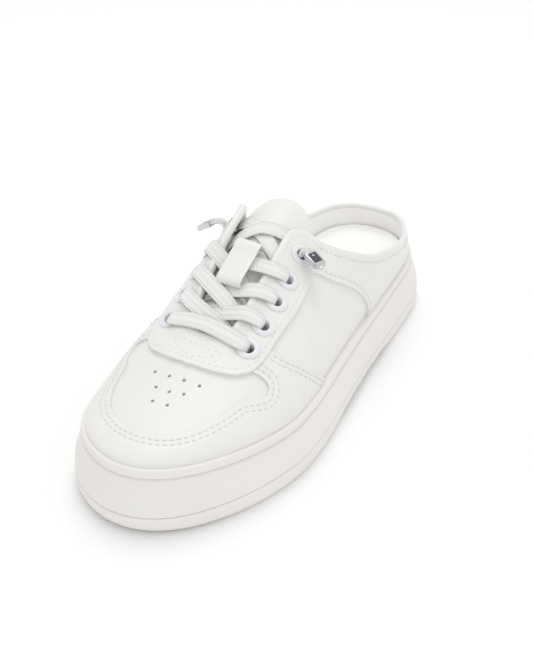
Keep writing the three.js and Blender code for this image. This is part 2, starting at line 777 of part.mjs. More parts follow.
// The last crossing lies on the tongue, between the two sides of the throat
const restingInset = 4.4;
const restingShift = 0.008;
function resting(from, to) {
  const start = facePoint(from.turn + (from.turn > 1 ? restingShift : -restingShift), 1);
  const end = facePoint(to.turn, 1);
  const inwards = start.x > 0 ? -restingInset : restingInset;
  return steps(4).map((k) =>
    onTongue(
      THREE.MathUtils.lerp(start.x + inwards, end.x - inwards, k),
      THREE.MathUtils.lerp(start.y, end.y, k),
      onTongueLift,
    ),
  );
}
const restingBands = [
  resting(at("lateral_4"), at("medial_5")),
  resting(at("medial_4"), at("lateral_5")),
].map((stops) => band(stops, laceWidth, laceThickness, laceSteps));
add("lace_cross_4", join(restingBands), laceWhite);

// Loop on the tongue: a leather strip that bridges the third crossing
const loopCentre = -0.021; // off the axis, as a share of the ball's width
const loopRise = 7; // from the tongue to the top of the loop
const loopSeat = gap + loopThickness / 2;
const loopRows = table(["along", "lift"], [
  [0.626, 0.85],
  [0.603, 0.9],
  [0.5765, 0.93],
  [0.5527, 1.09],
  [0.547, 0.53],
  [0.5443, 0],
]);
const loopStops = loopRows.map((row) =>
  onTongue(loopCentre * ballWidth, (0.5 - row.along) * lastLength, loopSeat + row.lift * (loopRise - loopSeat)),
);
add("tongue_loop", band(loopStops, loopWidth, loopThickness, 14), leatherWhite);

// Ends of the lace: each leaves the top eyelet of its side and carries a folded metal clip
const endRoutes = table(["eyelet", "points"], [
  ["lateral_5", [[2, -0.5, 3.1], [3.4, -1, 4.8], [5, -1.6, 5], [6.6, -2.2, 4.3]]],
  ["medial_5", [[-3, -0.2, 2.2], [-5.1, -0.4, 3.2], [-7.7, -0.5, 2.8], [-10.3, -0.3, 1.2]]],
]);
const clipRound = 2;
function clip() {
  const half = clipWidth / 2;
  const shape = new THREE.Shape();
  shape.moveTo(-half, gap);
  shape.lineTo(half, gap);
  shape.lineTo(half, clipLength - clipRound);
  shape.quadraticCurveTo(half, clipLength, half - clipRound, clipLength);
  shape.lineTo(clipRound - half, clipLength);
  shape.quadraticCurveTo(-half, clipLength, -half, clipLength - clipRound);
  const body = new THREE.ExtrudeGeometry(shape, { depth: clipThickness, curveSegments: 3, bevelEnabled: false });
  return body.translate(0, 0, -clipThickness / 2);
}
for (const route of endRoutes) {
  const side = route.eyelet.split("_")[0];
  const seat = facePoint(at(route.eyelet).turn, at(route.eyelet).rise);
  const points = route.points.map((offset) => new THREE.Vector3(...offset).add(seat));
  const path = new THREE.CatmullRomCurve3(points);
  const round = new THREE.Shape().absarc(0, 0, laceEndDiameter / 2, 0, 2 * Math.PI);
  const tube = { steps: 8, curveSegments: 4, bevelEnabled: false, extrudePath: path };
  add(`lace_end_${side}`, new THREE.ExtrudeGeometry(round, tube), laceWhite);
  const run = path.getTangent(1);
  const across = run.clone().cross(up).normalize();
  const place = new THREE.Matrix4().makeBasis(across, run, across.clone().cross(run));
  add(`clip_${side}`, clip().applyMatrix4(place.setPosition(points.at(-1))), clipMetal);
}

// The shoe stands with the middle of its sole over the origin
const soleBox = new THREE.Box3().setFromObject(shoe.getObjectByName("outsole"));
shoe.position.x = -(soleBox.min.x + soleBox.max.x) / 2;

export default shoe;
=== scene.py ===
"""A white backless lace-up trainer for the left foot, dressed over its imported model."""

import math

import bpy
import numpy as np
from mathutils import Matrix, Vector


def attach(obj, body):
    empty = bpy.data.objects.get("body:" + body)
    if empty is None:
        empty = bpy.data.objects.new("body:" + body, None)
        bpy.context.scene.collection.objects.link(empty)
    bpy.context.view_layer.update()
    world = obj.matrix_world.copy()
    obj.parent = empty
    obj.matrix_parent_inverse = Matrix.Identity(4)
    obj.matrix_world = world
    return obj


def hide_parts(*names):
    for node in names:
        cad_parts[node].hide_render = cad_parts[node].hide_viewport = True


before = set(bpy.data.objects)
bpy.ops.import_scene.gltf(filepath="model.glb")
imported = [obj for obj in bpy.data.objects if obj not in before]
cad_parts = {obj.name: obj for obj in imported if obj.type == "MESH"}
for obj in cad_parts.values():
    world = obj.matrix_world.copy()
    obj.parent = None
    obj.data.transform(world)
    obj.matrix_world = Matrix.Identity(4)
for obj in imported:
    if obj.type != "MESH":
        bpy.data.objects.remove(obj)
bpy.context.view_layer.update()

# Camera: it stands where the photograph was taken from and is turned just far enough to have
# the whole shoe in the frame, with the photograph's focal length.
MM = 0.001
camera_place = Vector((221.0, -395.8, 310.2)) * MM
camera_aim = Vector((1.0, -8.0, 31.0)) * MM
frame_height_px = 666
focal_px = 1043.2
sensor_height = 36.0
camera_data = bpy.data.cameras.new("camera")
camera_data.sensor_width = sensor_height
camera_data.lens = focal_px / frame_height_px * sensor_height
camera_data.dof.use_dof = False
camera = bpy.data.objects.new("camera", camera_data)
bpy.context.collection.objects.link(camera)
camera.location = camera_place
camera.rotation_euler = (camera_aim - camera_place).to_track_quat("-Z", "Y").to_euler()
bpy.context.scene.camera = camera
bpy.context.scene.view_settings.view_transform = "Standard"

# Floor and light: a seamless pale studio floor, one large soft light from the upper left and a
# weaker one from the right, under an even white sky.


def linear(code):
    """The linear colour of an sRGB hex code."""
    shares = [int(code[i : i + 2], 16) / 255 for i in (1, 3, 5)]
    return tuple(c / 12.92 if c <= 0.04045 else ((c + 0.055) / 1.055) ** 2.4 for c in shares) + (1.0,)


def add_node(tree, kind, settings=None, links=None):
    """A node with its settings, the values of its sockets, and what feeds them."""
    node = tree.nodes.new(kind)
    for name, value in (settings or {}).items():
        if isinstance(name, int) or name in node.inputs:
            node.inputs[name].default_value = value
        else:
            setattr(node, name, value)
    for name, source in (links or {}).items():
        tree.links.new(source, node.inputs[name])
    return node


def new_material(name, settings):
    """A node material: itself, its node tree and its shader."""
    material = bpy.data.materials.new(name)
    material.use_nodes = True
    tree = material.node_tree
    tree.nodes.clear()
    output = add_node(tree, "ShaderNodeOutputMaterial")
    shader = add_node(tree, "ShaderNodeBsdfPrincipled", settings)
    tree.links.new(shader.outputs[0], output.inputs[0])
    return material, tree, shader


floor_size = 30
sky_strength = 0.87
bpy.ops.object.select_all(action="DESELECT")
bpy.ops.mesh.primitive_plane_add(size=floor_size)
floor = bpy.context.object
floor.name = "floor"
floor_paint, _, _ = new_material(
    "studio_floor_matt_paint",
    {"Base Color": linear("#f8f8f8"), "Roughness": 0.9, "Specular IOR Level": 0.1},
)
floor.data.materials.append(floor_paint)

world = bpy.data.worlds.new("studio")
world.use_nodes = True
sky = world.node_tree.nodes["Background"]
sky.inputs[0].default_value = (1, 1, 1, 1)
sky.inputs[1].default_value = sky_strength
bpy.context.scene.world = world
for name, place, size, energy in (
    ("key_light", (-0.2, 0.35, 1.3), 0.7, 4.4),
    ("fill_light", (1.0, -0.8, 0.6), 1.2, 1.6),
):
    light = bpy.data.lights.new(name, "AREA")
    light.size = size
    light.energy = energy
    lamp = bpy.data.objects.new(name, light)
    bpy.context.collection.objects.link(lamp)
    lamp.location = place
    lamp.rotation_euler = (camera_aim - Vector(place)).to_track_quat("-Z", "Y").to_euler()

# Sole: a moulded rubber cup sole. The outsole carries the tread; the wall above it leans in to
# a groove, and a rounded lip over the groove holds the leather.
last_length = 262 * MM
ball_width = 95 * MM
instep_height = 60 * MM
sole_height = 23.5 * MM
outsole_height = 9.7 * MM
lip_height = 4.6 * MM
wall_flare = 5 * MM
arch_lift = 2.5 * MM
toe_spring = 2 * MM
gap = 0.3 * MM
loop_turn = 2


def chart(names, rows):
    """A table with named columns."""
    return dict(zip(names.split(), np.array(rows, float).T))


def read(table, key, column, at):
    """A smooth curve through a column of a table, read at any values of its key."""
    keys, values = table[key], table[column]
    step = np.diff(keys)
    rate = np.diff(values) / step
    slope = np.concatenate([rate[:1], rate, rate[-1:]])[:-1]
    slope[1:-1] = (rate[:-1] * step[1:] + rate[1:] * step[:-1]) / (step[:-1] + step[1:])
    slope[-1] = rate[-1]
    at = np.asarray(at, float)
    i = np.clip(np.searchsorted(keys, at, side="right") - 1, 0, len(step) - 1)
    t = (at - keys[i]) / step[i]
    leave, arrive = slope[i] * step[i], slope[i + 1] * step[i]
    start, end = values[i], values[i + 1]
    cubic = 2 * start - 2 * end + leave + arrive
    square = 3 * end - 3 * start - 2 * leave - arrive
    return ((cubic * t + square) * t + leave) * t + start


outline_chart = chart(
    "along outer inner",
    [
        (0, 0, 0),
        (0.02, 0.203, 0.177),
        (0.06, 0.303, 0.274),
        (0.12, 0.362, 0.32),
        (0.2, 0.388, 0.326),
        (0.3, 0.409, 0.338),
        (0.42, 0.436, 0.368),
        (0.54, 0.475, 0.403),
        (0.66, 0.514, 0.465),
        (0.74, 0.516, 0.484),
        (0.81, 0.475, 0.458),
        (0.87, 0.412, 0.418),
        (0.92, 0.334, 0.36),
        (0.96, 0.246, 0.268),
        (0.985, 0.155, 0.163),
        (1, 0, 0),
    ],
)
outline_chart["turn"] = np.arccos(1 - 2 * outline_chart["along"]) / math.pi
groove_chart = chart(
    "along height",
    [(0, 1.128), (0.2, 1.072), (0.4, 0.987), (0.6, 0.987), (0.75, 1.013), (0.9, 1.106), (1, 1.17)],
)


def fold_turn(turn):
    """True on the outer side, and the turn from the heel on either side."""
    turn = np.mod(turn, loop_turn)
    return turn <= 1, np.where(turn <= 1, turn, loop_turn - turn)


def last_line(turn):
    """The outline of the last at the groove: x, y and the share along the shoe."""
    outer, side = fold_turn(turn)
    along = (1 - np.cos(math.pi * side)) / 2
    width = np.where(
        outer,
        read(outline_chart, "turn", "outer", side),
        -read(outline_chart, "turn", "inner", side),
    )
    return width * ball_width, last_length * (0.5 - along), along


def outline(turn, inset):
    """The outline pulled in by an inset: x, y, the two parts of its outward normal, and along."""
    turn = np.asarray(turn, float)
    step = 2e-4
    x, y, along = last_line(turn)
    ax, ay, _ = last_line(turn + step)
    bx, by, _ = last_line(turn - step)
    length = np.hypot(ax - bx, ay - by)
    nx, ny = -(ay - by) / length, (ax - bx) / length
    return x - nx * inset + sole_shift, y - ny * inset, nx, ny, along


sole_shift = 0
sole_edge = outline(np.arange(64) * loop_turn / 64, -wall_flare)[0]
sole_shift = -(sole_edge.max() + sole_edge.min()) / 2


def groove_height(along):
    return read(groove_chart, "along", "height", along) * sole_height


def smoothstep(value, low, high):
    t = np.clip((value - low) / (high - low), 0, 1)
    return t * t * (3 - 2 * t)


spring_start = 0.8
spring_run = 0.2
waist_rear = (0.24, 0.34)
waist_front = (0.52, 0.62)


def floor_lift(along):
    """How far the bottom clears the floor: under the waist and at the tip of the toe."""
    spring = np.maximum(0, (along - spring_start) / spring_run)
    waist = smoothstep(along, *waist_rear) - smoothstep(along, *waist_front)
    return arch_lift * waist + toe_spring * spring**2


def choose(*pieces):
    """Only these pieces are selected, and the first is the active one."""
    bpy.ops.object.select_all(action="DESELECT")
    for piece in pieces:
        piece.select_set(True)
    bpy.context.view_layer.objects.active = pieces[0]


def join(pieces):
    """The pieces joined into the first of them."""
    choose(*pieces)
    bpy.ops.object.join()
    return pieces[0]


def edit_mesh(operation, **settings):
    """An operation on the whole mesh of the active piece."""
    bpy.ops.object.mode_set(mode="EDIT")
    bpy.ops.mesh.select_all(action="SELECT")
    operation(**settings)
    bpy.ops.object.mode_set(mode="OBJECT")


def lay_grid(name, points):
    """A grid primitive with its corners laid on rows of points, joined where they meet."""
    rows, columns = points.shape[:2]
    bpy.ops.object.select_all(action="DESELECT")
    bpy.ops.mesh.primitive_grid_add(x_subdivisions=columns - 1, y_subdivisions=rows - 1)
    piece = bpy.context.object
    piece.name = piece.data.name = name
    piece.data.vertices.foreach_set("co", np.ascontiguousarray(points, np.float32).reshape(-1))
    edit_mesh(bpy.ops.mesh.remove_doubles, threshold=1e-6)
    bpy.ops.object.shade_smooth()
    return piece


def apply_modifier(piece, kind, **settings):
    """A modifier with its settings, applied at once."""
    choose(piece)
    modifier = piece.modifiers.new(kind.lower(), kind)
    for name, value in settings.items():
        setattr(modifier, name, value)
    bpy.ops.object.modifier_apply(modifier=modifier.name)


def smooth_by_angle(piece, degrees):
    """Smooth shading, with edges sharper than an angle kept."""
    choose(piece)
    bpy.ops.object.shade_smooth_by_angle(angle=math.radians(degrees))


def finish_piece(piece, material, slot, *nodes):
    """The piece gets its material, rides on the shoe and stands for its nodes."""
    piece.data.materials.clear()
    piece.data.materials.append(material)
    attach(piece, "root")
    if nodes:
        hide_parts(*nodes)


def ring(turns, inset, height):
    """One ring of the sole's outline at an inset and a height."""
    x, y, _, _, along = outline(turns, inset)
    return np.stack([x, y, np.broadcast_to(height, along.shape)], -1)


def to_axis(ring_points, share):
    """A ring drawn in towards the line down its middle."""
    middle = (ring_points + ring_points[::-1]) / 2
    return middle + (ring_points - middle) * share


sole_turns = np.linspace(0, loop_turn, 289)
sole_along = last_line(sole_turns)[2]
sole_lift = floor_lift(sole_along)
last_order = 5


def wall_rings(table, count, low, high):
    """Rings of the sole's wall between two levels, after a table of stand and height."""
    rings = []
    for order in np.linspace(0, last_order, count):
        stand = read(table, "order", "stand", order)
        height = read(table, "order", "height", order)
        rings.append(ring(sole_turns, -stand * wall_flare, low + height * (high - low)))
    return rings


outsole_chart = chart(
    "order stand height",
    [(0, 0.45, 0), (1, 0.78, 0.1), (2, 0.96, 0.35), (3, 1.0, 0.7), (4, 0.99, 0.96), (5, 0.93, 1)],
)
outsole_rings = wall_rings(outsole_chart, 21, sole_lift, outsole_height)
bottom = [to_axis(outsole_rings[0], share) for share in (0, 0.2, 0.4, 0.6, 0.8, 0.93)]
top = [to_axis(outsole_rings[-1], share) for share in (0.9, 0)]
outsole = lay_grid("outsole_rubber", np.stack(bottom + outsole_rings + top, 1))
edit_mesh(bpy.ops.mesh.normals_make_consistent, inside=False)

# Tread: the bottom is moulded with cross grooves under the forefoot and the heel. They are cut
# into the outsole here and end inside a rim that runs all round.
tread_depth = 2.2 * MM
tread_width = 3.4 * MM
tread_pitch = 12 * MM
tread_margin = 9 * MM
tread_round = 0.9 * MM
tread_zones = ((0.055, 0.23), (0.58, 0.92))
tread_cutters = []
for start, end in tread_zones:
    count = int((end - start) * last_length / tread_pitch)
    for i in range(count):
        along = start + (end - start) / count * (i + 0.5)
        turn = math.acos(1 - 2 * along) / math.pi
        outer = float(outline(turn, tread_margin)[0])
        inner = float(outline(loop_turn - turn, tread_margin)[0])
        depth = tread_depth + float(floor_lift(along))
        bpy.ops.object.select_all(action="DESELECT")
        bpy.ops.mesh.primitive_cube_add(
            size=1,
            location=((outer + inner) / 2, last_length * (0.5 - along), 0),
            scale=(outer - inner, tread_width, 2 * depth),
        )
        tread_cutters.append(bpy.context.object)
tread_cutter = join(tread_cutters)
apply_modifier(tread_cutter, "BEVEL", width=tread_round, segments=3)
apply_modifier(outsole, "BOOLEAN", operation="DIFFERENCE", object=tread_cutter, solver="EXACT")
bpy.data.objects.remove(tread_cutter)

# Midsole: the moulded cup of the same rubber, glued on the outsole. Its wall leans in to the
# groove, and the lip turns over the foot of the leather that stands in the cup.
midsole_foot = outsole_height + gap
wall_chart = chart(
    "order stand height",
    [(0, 0.93, 0), (1, 0.97, 0.04), (2, 0.86, 0.32), (3, 0.58, 0.62), (4, 0.26, 0.87), (5, 0.1, 0.97)],
)
groove_depth = 0.8 * MM
groove_half = 0.15 * MM
lip_stand = 0.6 * MM
lip_round = 0.7 * MM
lip_shoulder = 2.3 * MM
cup_floor_inset = 6 * MM
upper_inset = 3 * MM
cup_inset = upper_inset - 0.04 * MM
sole_groove = groove_height(sole_along)
lip_top = sole_groove + lip_height
midsole_rings = [ring(sole_turns, inset, midsole_foot) for inset in (cup_floor_inset, 0)]
midsole_rings += wall_rings(wall_chart, 26, midsole_foot, sole_groove)
midsole_rings.append(ring(sole_turns, groove_depth * 0.6, sole_groove - groove_half))
midsole_rings.append(ring(sole_turns, groove_depth, sole_groove + groove_half))
for angle in np.radians(np.linspace(-62, 90, 14)):
    out = lip_stand * 0.25 + (lip_stand * 0.75 + lip_round) * math.cos(angle) - lip_round
    rise = 0.5 + 0.5 * math.sin(angle)
    midsole_rings.append(ring(sole_turns, -out, sole_groove + rise * lip_height))
for inset, level in (
    (lip_shoulder, lip_top - 0.02 * MM),
    (cup_inset, lip_top - 0.08 * MM),
    (cup_inset, sole_groove),
    (cup_floor_inset, sole_groove),
):
    midsole_rings.append(ring(sole_turns, inset, level))
midsole_rings.append(midsole_rings[0])
midsole = lay_grid("midsole_rubber", np.stack(midsole_rings, 1))


def add_texture(tree, kind, size, settings=None):
    """A texture in the piece's own space, with marks of about the given size."""
    place = add_node(tree, "ShaderNodeTexCoord")
    return add_node(tree, kind, {**(settings or {}), "Scale": 1 / size}, {"Vector": place.outputs["Object"]})


def add_tint(tree, shader, share, first, second):
    """The shader's colour, mixed of two by a texture."""
    tint = add_node(tree, "ShaderNodeMix", {"data_type": "RGBA"}, {0: share})
    tint.inputs[6].default_value = linear(first)
    tint.inputs[7].default_value = linear(second)
    tree.links.new(tint.outputs[2], shader.inputs["Base Color"])


def add_bump(tree, above, height, strength, distance):
    """A bump from a texture's height, fed to the shader or to the bump that lies over it."""
    bump = add_node(tree, "ShaderNodeBump", {"Strength": strength, "Distance": distance}, {"Height": height})
    tree.links.new(bump.outputs[0], above.inputs["Normal"])
    return bump


# Moulded rubber, satin and a warm white, with the fine sand texture of its mould
sand_grit = 0.55 * MM
cloud_size = 35 * MM
sole_rubber, tree, sole_shader = new_material(
    "moulded_rubber_warm_white", {"Roughness": 0.62, "Specular IOR Level": 0.4}
)
sand = add_texture(tree, "ShaderNodeTexNoise", sand_grit, {"Detail": 3.0, "Roughness": 0.6})
cloud = add_texture(tree, "ShaderNodeTexNoise", cloud_size, {"Detail": 2.0})
add_tint(tree, sole_shader, cloud.outputs["Fac"], "#e5e2de", "#ebe9e6")
add_bump(tree, sole_shader, sand.outputs["Fac"], 0.28, 0.12 * MM)
finish_piece(outsole, sole_rubber, "sole", "outsole")
finish_piece(midsole, sole_rubber, "sole", "midsole")
for piece in (outsole, midsole):
    smooth_by_angle(piece, 48)

# Insole: a soft foam bed covered in smooth lining leather and glued into the cup. Its edge is
# turned up, and its heel is dished.
upper_wall = 1.8 * MM
insole_edge = upper_inset + upper_wall + gap
insole_thickness = 4 * MM
insole_dish = 2.2 * MM
dish_front = (0.275, 0.55)
insole_chart = chart(
    "order inset height dish",
    [(0, 0.6, 0, 0), (1, 0, 0.25, 0), (2, 0.25, 0.8, 0.8), (3, 1.4, 1, 1), (4, 5, 1, 0.35), (5, 11, 1, 0)],
)
insole_rings = []
bed_turns = np.linspace(0, loop_turn, 193)
for order in np.linspace(0, last_order, 26):
    inset = insole_edge + read(insole_chart, "order", "inset", order) * MM
    height = read(insole_chart, "order", "height", order) * insole_thickness
    x, y, _, _, along = outline(bed_turns, inset)
    dish = insole_dish * (1 - smoothstep(along, *dish_front)) * read(insole_chart, "order", "dish", order)
    insole_rings.append(np.stack([x, y, groove_height(along) + gap + height + dish], -1))
bed = [to_axis(insole_rings[-1], share) for share in (0.8, 0.6, 0.4, 0.2, 0)]
under = [to_axis(insole_rings[0], share) for share in (0, 0.9)]
insole = lay_grid("insole_bed", np.stack(under + insole_rings + bed, 1))

# Lining leather: split leather with a dry matt finish, nearly white
grain_size = 0.9 * MM
lining_leather, tree, lining_shader = new_material(
    "lining_leather_matt_white",
    {"Base Color": linear("#faf9f7"), "Roughness": 0.65, "Specular IOR Level": 0.3},
)
lining_grain = add_texture(tree, "ShaderNodeTexVoronoi", grain_size)
add_bump(tree, lining_shader, lining_grain.outputs["Distance"], 0.15, 0.06 * MM)
finish_piece(insole, lining_leather, "lining", "insole")

# Upper: smooth coated leather, cut and lasted over the foot, with a thin lining glued inside.
# It is worked out from the last's outline and the opening edge, as the solids are.
leather_wall = 1.1 * MM
riser = sole_height + lip_height
opening_chart = chart(
    "turn along outer inner outer_rise inner_rise outer_fall inner_fall lift reach",
    [
        (0, 0.02, 0.004, 0.004, 0.275, 0.275, 84, 84, 0.083, 0.042),
        (0.08, 0.029, 0.15, 0.14, 0.275, 0.275, 84, 84, 0.083, 0.042),
        (0.16, 0.068, 0.255, 0.235, 0.28, 0.28, 84, 84, 0.083, 0.042),
        (0.25, 0.148, 0.345, 0.29, 0.305, 0.305, 84, 84, 0.1, 0.053),
        (0.33, 0.25, 0.365, 0.305, 0.396, 0.396, 80, 80, 0.133, 0.074),
        (0.4, 0.335, 0.35, 0.325, 0.514, 0.535, 74, 76, 0.183, 0.105),
        (0.45, 0.394, 0.28, 0.305, 0.643, 0.693, 66, 72, 0.233, 0.147),
        (0.5, 0.438, 0.2, 0.265, 0.779, 0.872, 57, 66, 0.283, 0.19),
        (0.535, 0.46, 0.135, 0.225, 0.879, 0.987, 49, 60, 0.3, 0.2),
        (0.56, 0.482, 0.092, 0.2, 0.903, 0.994, 44, 56, 0.3, 0.2),
        (0.59, 0.53, 0.094, 0.19, 0.836, 0.915, 41, 51, 0.283, 0.2),
        (0.63, 0.585, 0.106, 0.17, 0.747, 0.8, 37, 45, 0.242, 0.2),
        (0.67, 0.645, 0.116, 0.15, 0.635, 0.664, 34, 38, 0.2, 0.19),
        (0.72, 0.695, 0.115, 0.135, 0.524, 0.53, 31, 32, 0.158, 0.19),
        (0.78, 0.718, 0.08, 0.1, 0.478, 0.482, 29, 29, 0.117, 0.242),
        (0.86, 0.7255, 0.04, 0.055, 0.466, 0.469, 28, 28, 0.1, 0.326),
        (1, 0.7265, -0.008, 0.008, 0.465, 0.465, 27, 27, 0.092, 0.4),
    ],
)
outward_lean = 0.6 * MM
toe_blend = 6 * MM


def unit(vectors):
    """Vectors brought to length 1."""
    return vectors / np.linalg.norm(vectors, axis=-1, keepdims=True)


def face_point(turn, rise):
    """A point of the upper's outer face: rise 0 at the lip, 1 at the opening edge."""
    turn, rise = np.broadcast_arrays(np.asarray(turn, float), np.asarray(rise, float))
    foot_x, foot_y, nx, ny, along = outline(turn, upper_inset)
    outer, side = fold_turn(turn)

    def on_side(name):
        """A column of the opening chart, of the side that each turn is on."""
        outer_value = read(opening_chart, "turn", "outer" + name, side)
        return np.where(outer, outer_value, read(opening_chart, "turn", "inner" + name, side))

    top_x = on_side("") * ball_width * np.where(outer, 1, -1) + sole_shift
    top_y = last_length * (0.5 - read(opening_chart, "turn", "along", side))
    top_z = riser + on_side("_rise") * instep_height
    fall = np.radians(on_side("_fall"))
    reach = read(opening_chart, "turn", "reach", side) * ball_width
    dx = foot_x - top_x + toe_blend * nx
    dy = foot_y - top_y + toe_blend * ny
    run = np.cos(fall) * reach / np.hypot(dx, dy)
    lift = read(opening_chart, "turn", "lift", side) * instep_height
    start = np.stack([foot_x, foot_y, groove_height(along) + lip_height], -1)
    end = np.stack([top_x, top_y, top_z], -1)
    low = start + np.stack([nx * outward_lean, ny * outward_lean, lift], -1)
    high = end + np.stack([dx * run, dy * run, -np.sin(fall) * reach], -1)
    t = rise[..., None]
    s = 1 - t
    return s**3 * start + 3 * s**2 * t * low + 3 * s * t**2 * high + t**3 * end


def face_normal(turn, rise):
    """The outward direction of the face."""
    step = 2e-3
    turn, rise = np.broadcast_arrays(np.asarray(turn, float), np.asarray(rise, float))
    across = face_point(turn + step, rise) - face_point(turn - step, rise)
    climb = face_point(turn, np.minimum(rise + step, 1)) - face_point(turn, np.maximum(rise - step, 0))
    return unit(np.cross(climb, across))


# Wear creases over the ball and the waist: a trough or a ridge from one spot of
# the face to another, with its depth and its width
crease_chart = [
    # turn, rise, turn to, rise to, depth, width
    (0.60, 0.52, 0.575, 0.12, 0.5, 4.5),
    (0.575, 0.5, 0.545, 0.16, -0.3, 5.0),
    (0.54, 0.56, 0.5, 0.25, 0.45, 5.0),
    (0.49, 0.5, 0.45, 0.12, -0.25, 6.0),
    (0.80, 0.66, 0.90, 0.55, 0.35, 6.0),
    (0.86, 0.74, 1.05, 0.66, 0.3, 5.0),
    (1.12, 0.7, 1.2, 0.55, 0.35, 6.0),
    (1.40, 0.5, 1.43, 0.15, 0.5, 4.5),
    (1.45, 0.55, 1.5, 0.25, 0.4, 5.0),
    (0.74, 0.3, 0.82, 0.2, -0.25, 7.0),
    (1.2, 0.3, 1.1, 0.2, -0.25, 7.0),
]
crease_ends = [
    (face_point(turn, rise), face_point(end_turn, end_rise), depth * MM, width * MM)
    for turn, rise, end_turn, end_rise, depth, width in crease_chart
]


def crease_depth(points):
    """How deep the creases press the face in."""
    depth = np.zeros(points.shape[:-1])
    for start, end, deep, width in crease_ends:
        line = end - start
        share = np.clip(((points - start) @ line) / (line @ line), 0, 1)
        away = np.linalg.norm(points - start - share[..., None] * line, axis=-1)
        taper = 0.35 + 0.65 * np.sin(math.pi * np.clip(share, 0.02, 0.98))
        depth += deep * taper * np.exp(-((away / width) ** 2))
    return depth


roll_share = 0.1
edge_inside = upper_wall + 0.15 * MM


def on_upper(turn, rise, offset):
    """A point off the upper's face. A rise above 1 rolls over the opening edge, to its inside."""
    turn, rise, offset = np.broadcast_arrays(
        np.asarray(turn, float), np.asarray(rise, float), np.asarray(offset, float)
    )
    level = np.where(rise > 1 + roll_share, 2 + roll_share - rise, np.minimum(rise, 1))
    points = face_point(turn, level)
    normal = face_normal(turn, level)
    climb = unit(points - face_point(turn, level - 0.01))
    angle = math.pi / 2 - math.pi * np.clip((rise - 1) / roll_share, 0, 1)
    middle, half = (offset - edge_inside) / 2, (offset + edge_inside) / 2
    plain = offset - crease_depth(points)
    out = np.where(rise > 1, middle + half * np.sin(angle), plain)
    up = np.where(rise > 1, half * np.cos(angle), 0)
    return points + normal * out[..., None] + climb * up[..., None]


def skirt_point(turn, offset):
    """The foot of the leather, behind the lip on the floor of the cup."""
    x, y, _, _, along = outline(turn, upper_inset - offset)
    return np.stack([x, y, groove_height(along) + gap], -1)


shell_top = 0.994


def shell(name, outside, inside, turn_count, rise_count):
    """A closed wall of the upper between two offsets, up to just under the opening edge."""
    turns = np.linspace(0, loop_turn, turn_count + 1)[:, None]
    rises = np.linspace(0, shell_top, rise_count)[None, :]
    sheets = [
        skirt_point(turns, outside),
        on_upper(turns, rises, outside),
        on_upper(turns, rises[:, ::-1], inside),
        skirt_point(turns, inside),
        skirt_point(turns, outside),
    ]
    return lay_grid(name, np.concatenate(sheets, 1))


eyelet_chart = [
    # lateral turn and rise, medial turn and rise
    (0.706, 0.757, 0.697, 0.757),
    (0.665, 0.765, 0.66, 0.79),
    (0.631, 0.781, 0.628, 0.8),
    (0.595, 0.79, 0.591, 0.8),
    (0.557, 0.818, 0.55, 0.82),
]
eyelet_spots = {}
for number, (outer_turn, outer_rise, inner_turn, inner_rise) in enumerate(eyelet_chart, 1):
    eyelet_spots[f"lateral_{number}"] = (outer_turn, outer_rise)
    eyelet_spots[f"medial_{number}"] = (loop_turn - inner_turn, inner_rise)
pinhole_spots = [
    (1.135, 0.715), (1.055, 0.76), (0.965, 0.768), (0.875, 0.731),
    (1.07, 0.675), (1.0, 0.695), (0.93, 0.688),
    (1.035, 0.606), (0.97, 0.613),
]
eyelet_bore = 5.2 * MM
barrel_radius = eyelet_bore / 2 + 0.5 * MM
barrel_clear = 0.25 * MM
pinhole_radius = 0.8 * MM
punch_length = 14 * MM


def punches(spots, radius):
    """Round punches through the leather at the spots, joined."""
    cutters = []
    for turn, rise in spots:
        axis = Vector(face_normal(turn, rise))
        bpy.ops.object.select_all(action="DESELECT")
        bpy.ops.mesh.primitive_cylinder_add(
            vertices=24,
            radius=radius,
            depth=punch_length,
            location=Vector(face_point(turn, rise)),
            rotation=axis.to_track_quat("Z", "Y").to_euler(),
        )
        cutters.append(bpy.context.object)
    return join(cutters)


eyelet_punch = punches(eyelet_spots.values(), barrel_radius + barrel_clear)
pinhole_punch = punches(pinhole_spots, pinhole_radius)
upper = shell("upper_leather", 0, -leather_wall, 420, 72)
lining = shell("upper_lining", -leather_wall - 0.05 * MM, -upper_wall, 300, 48)
for wall in (upper, lining):
    for punch in (eyelet_punch, pinhole_punch):
        apply_modifier(wall, "BOOLEAN", operation="DIFFERENCE", object=punch, solver="EXACT")
bpy.data.objects.remove(pinhole_punch)

# Coated leather: corrected grain with a pigmented coat, cool white and satin, its grain so fine
# that it only softens the gloss
nap_size = 11 * MM
coated_leather, tree, leather_shader = new_material(
    "coated_leather_cool_white",
    {"Roughness": 0.46, "Specular IOR Level": 0.45, "Coat Weight": 0.15, "Coat Roughness": 0.3},
)
grain = add_texture(tree, "ShaderNodeTexVoronoi", grain_size, {"feature": "SMOOTH_F1"})
nap = add_texture(tree, "ShaderNodeTexNoise", nap_size, {"Detail": 3.0})
grain_bump = add_bump(tree, leather_shader, grain.outputs["Distance"], 0.2, 0.07 * MM)
add_bump(tree, grain_bump, nap.outputs["Fac"], 0.3, 0.4 * MM)
add_tint(tree, leather_shader, nap.outputs["Fac"], "#e3e2de", "#e9e8e5")
finish_piece(upper, coated_leather, "upper_leather", "upper")
finish_piece(lining, lining_leather, "lining")

# Toe guard: a cut panel of the same leather round the toe, its two wings running back to the
# side seams. It is stitched down with two rows along its inner edge.
layer = 1.3 * MM
lip_clear = 0.001

# The weights of turn and rise where the length of a line on the face is measured
face_scale = (360, 60)


def travelled(path):
    """The length of a path up to each of its points."""
    return np.concatenate([[0], np.cumsum(np.linalg.norm(np.diff(path, axis=0), axis=1))])


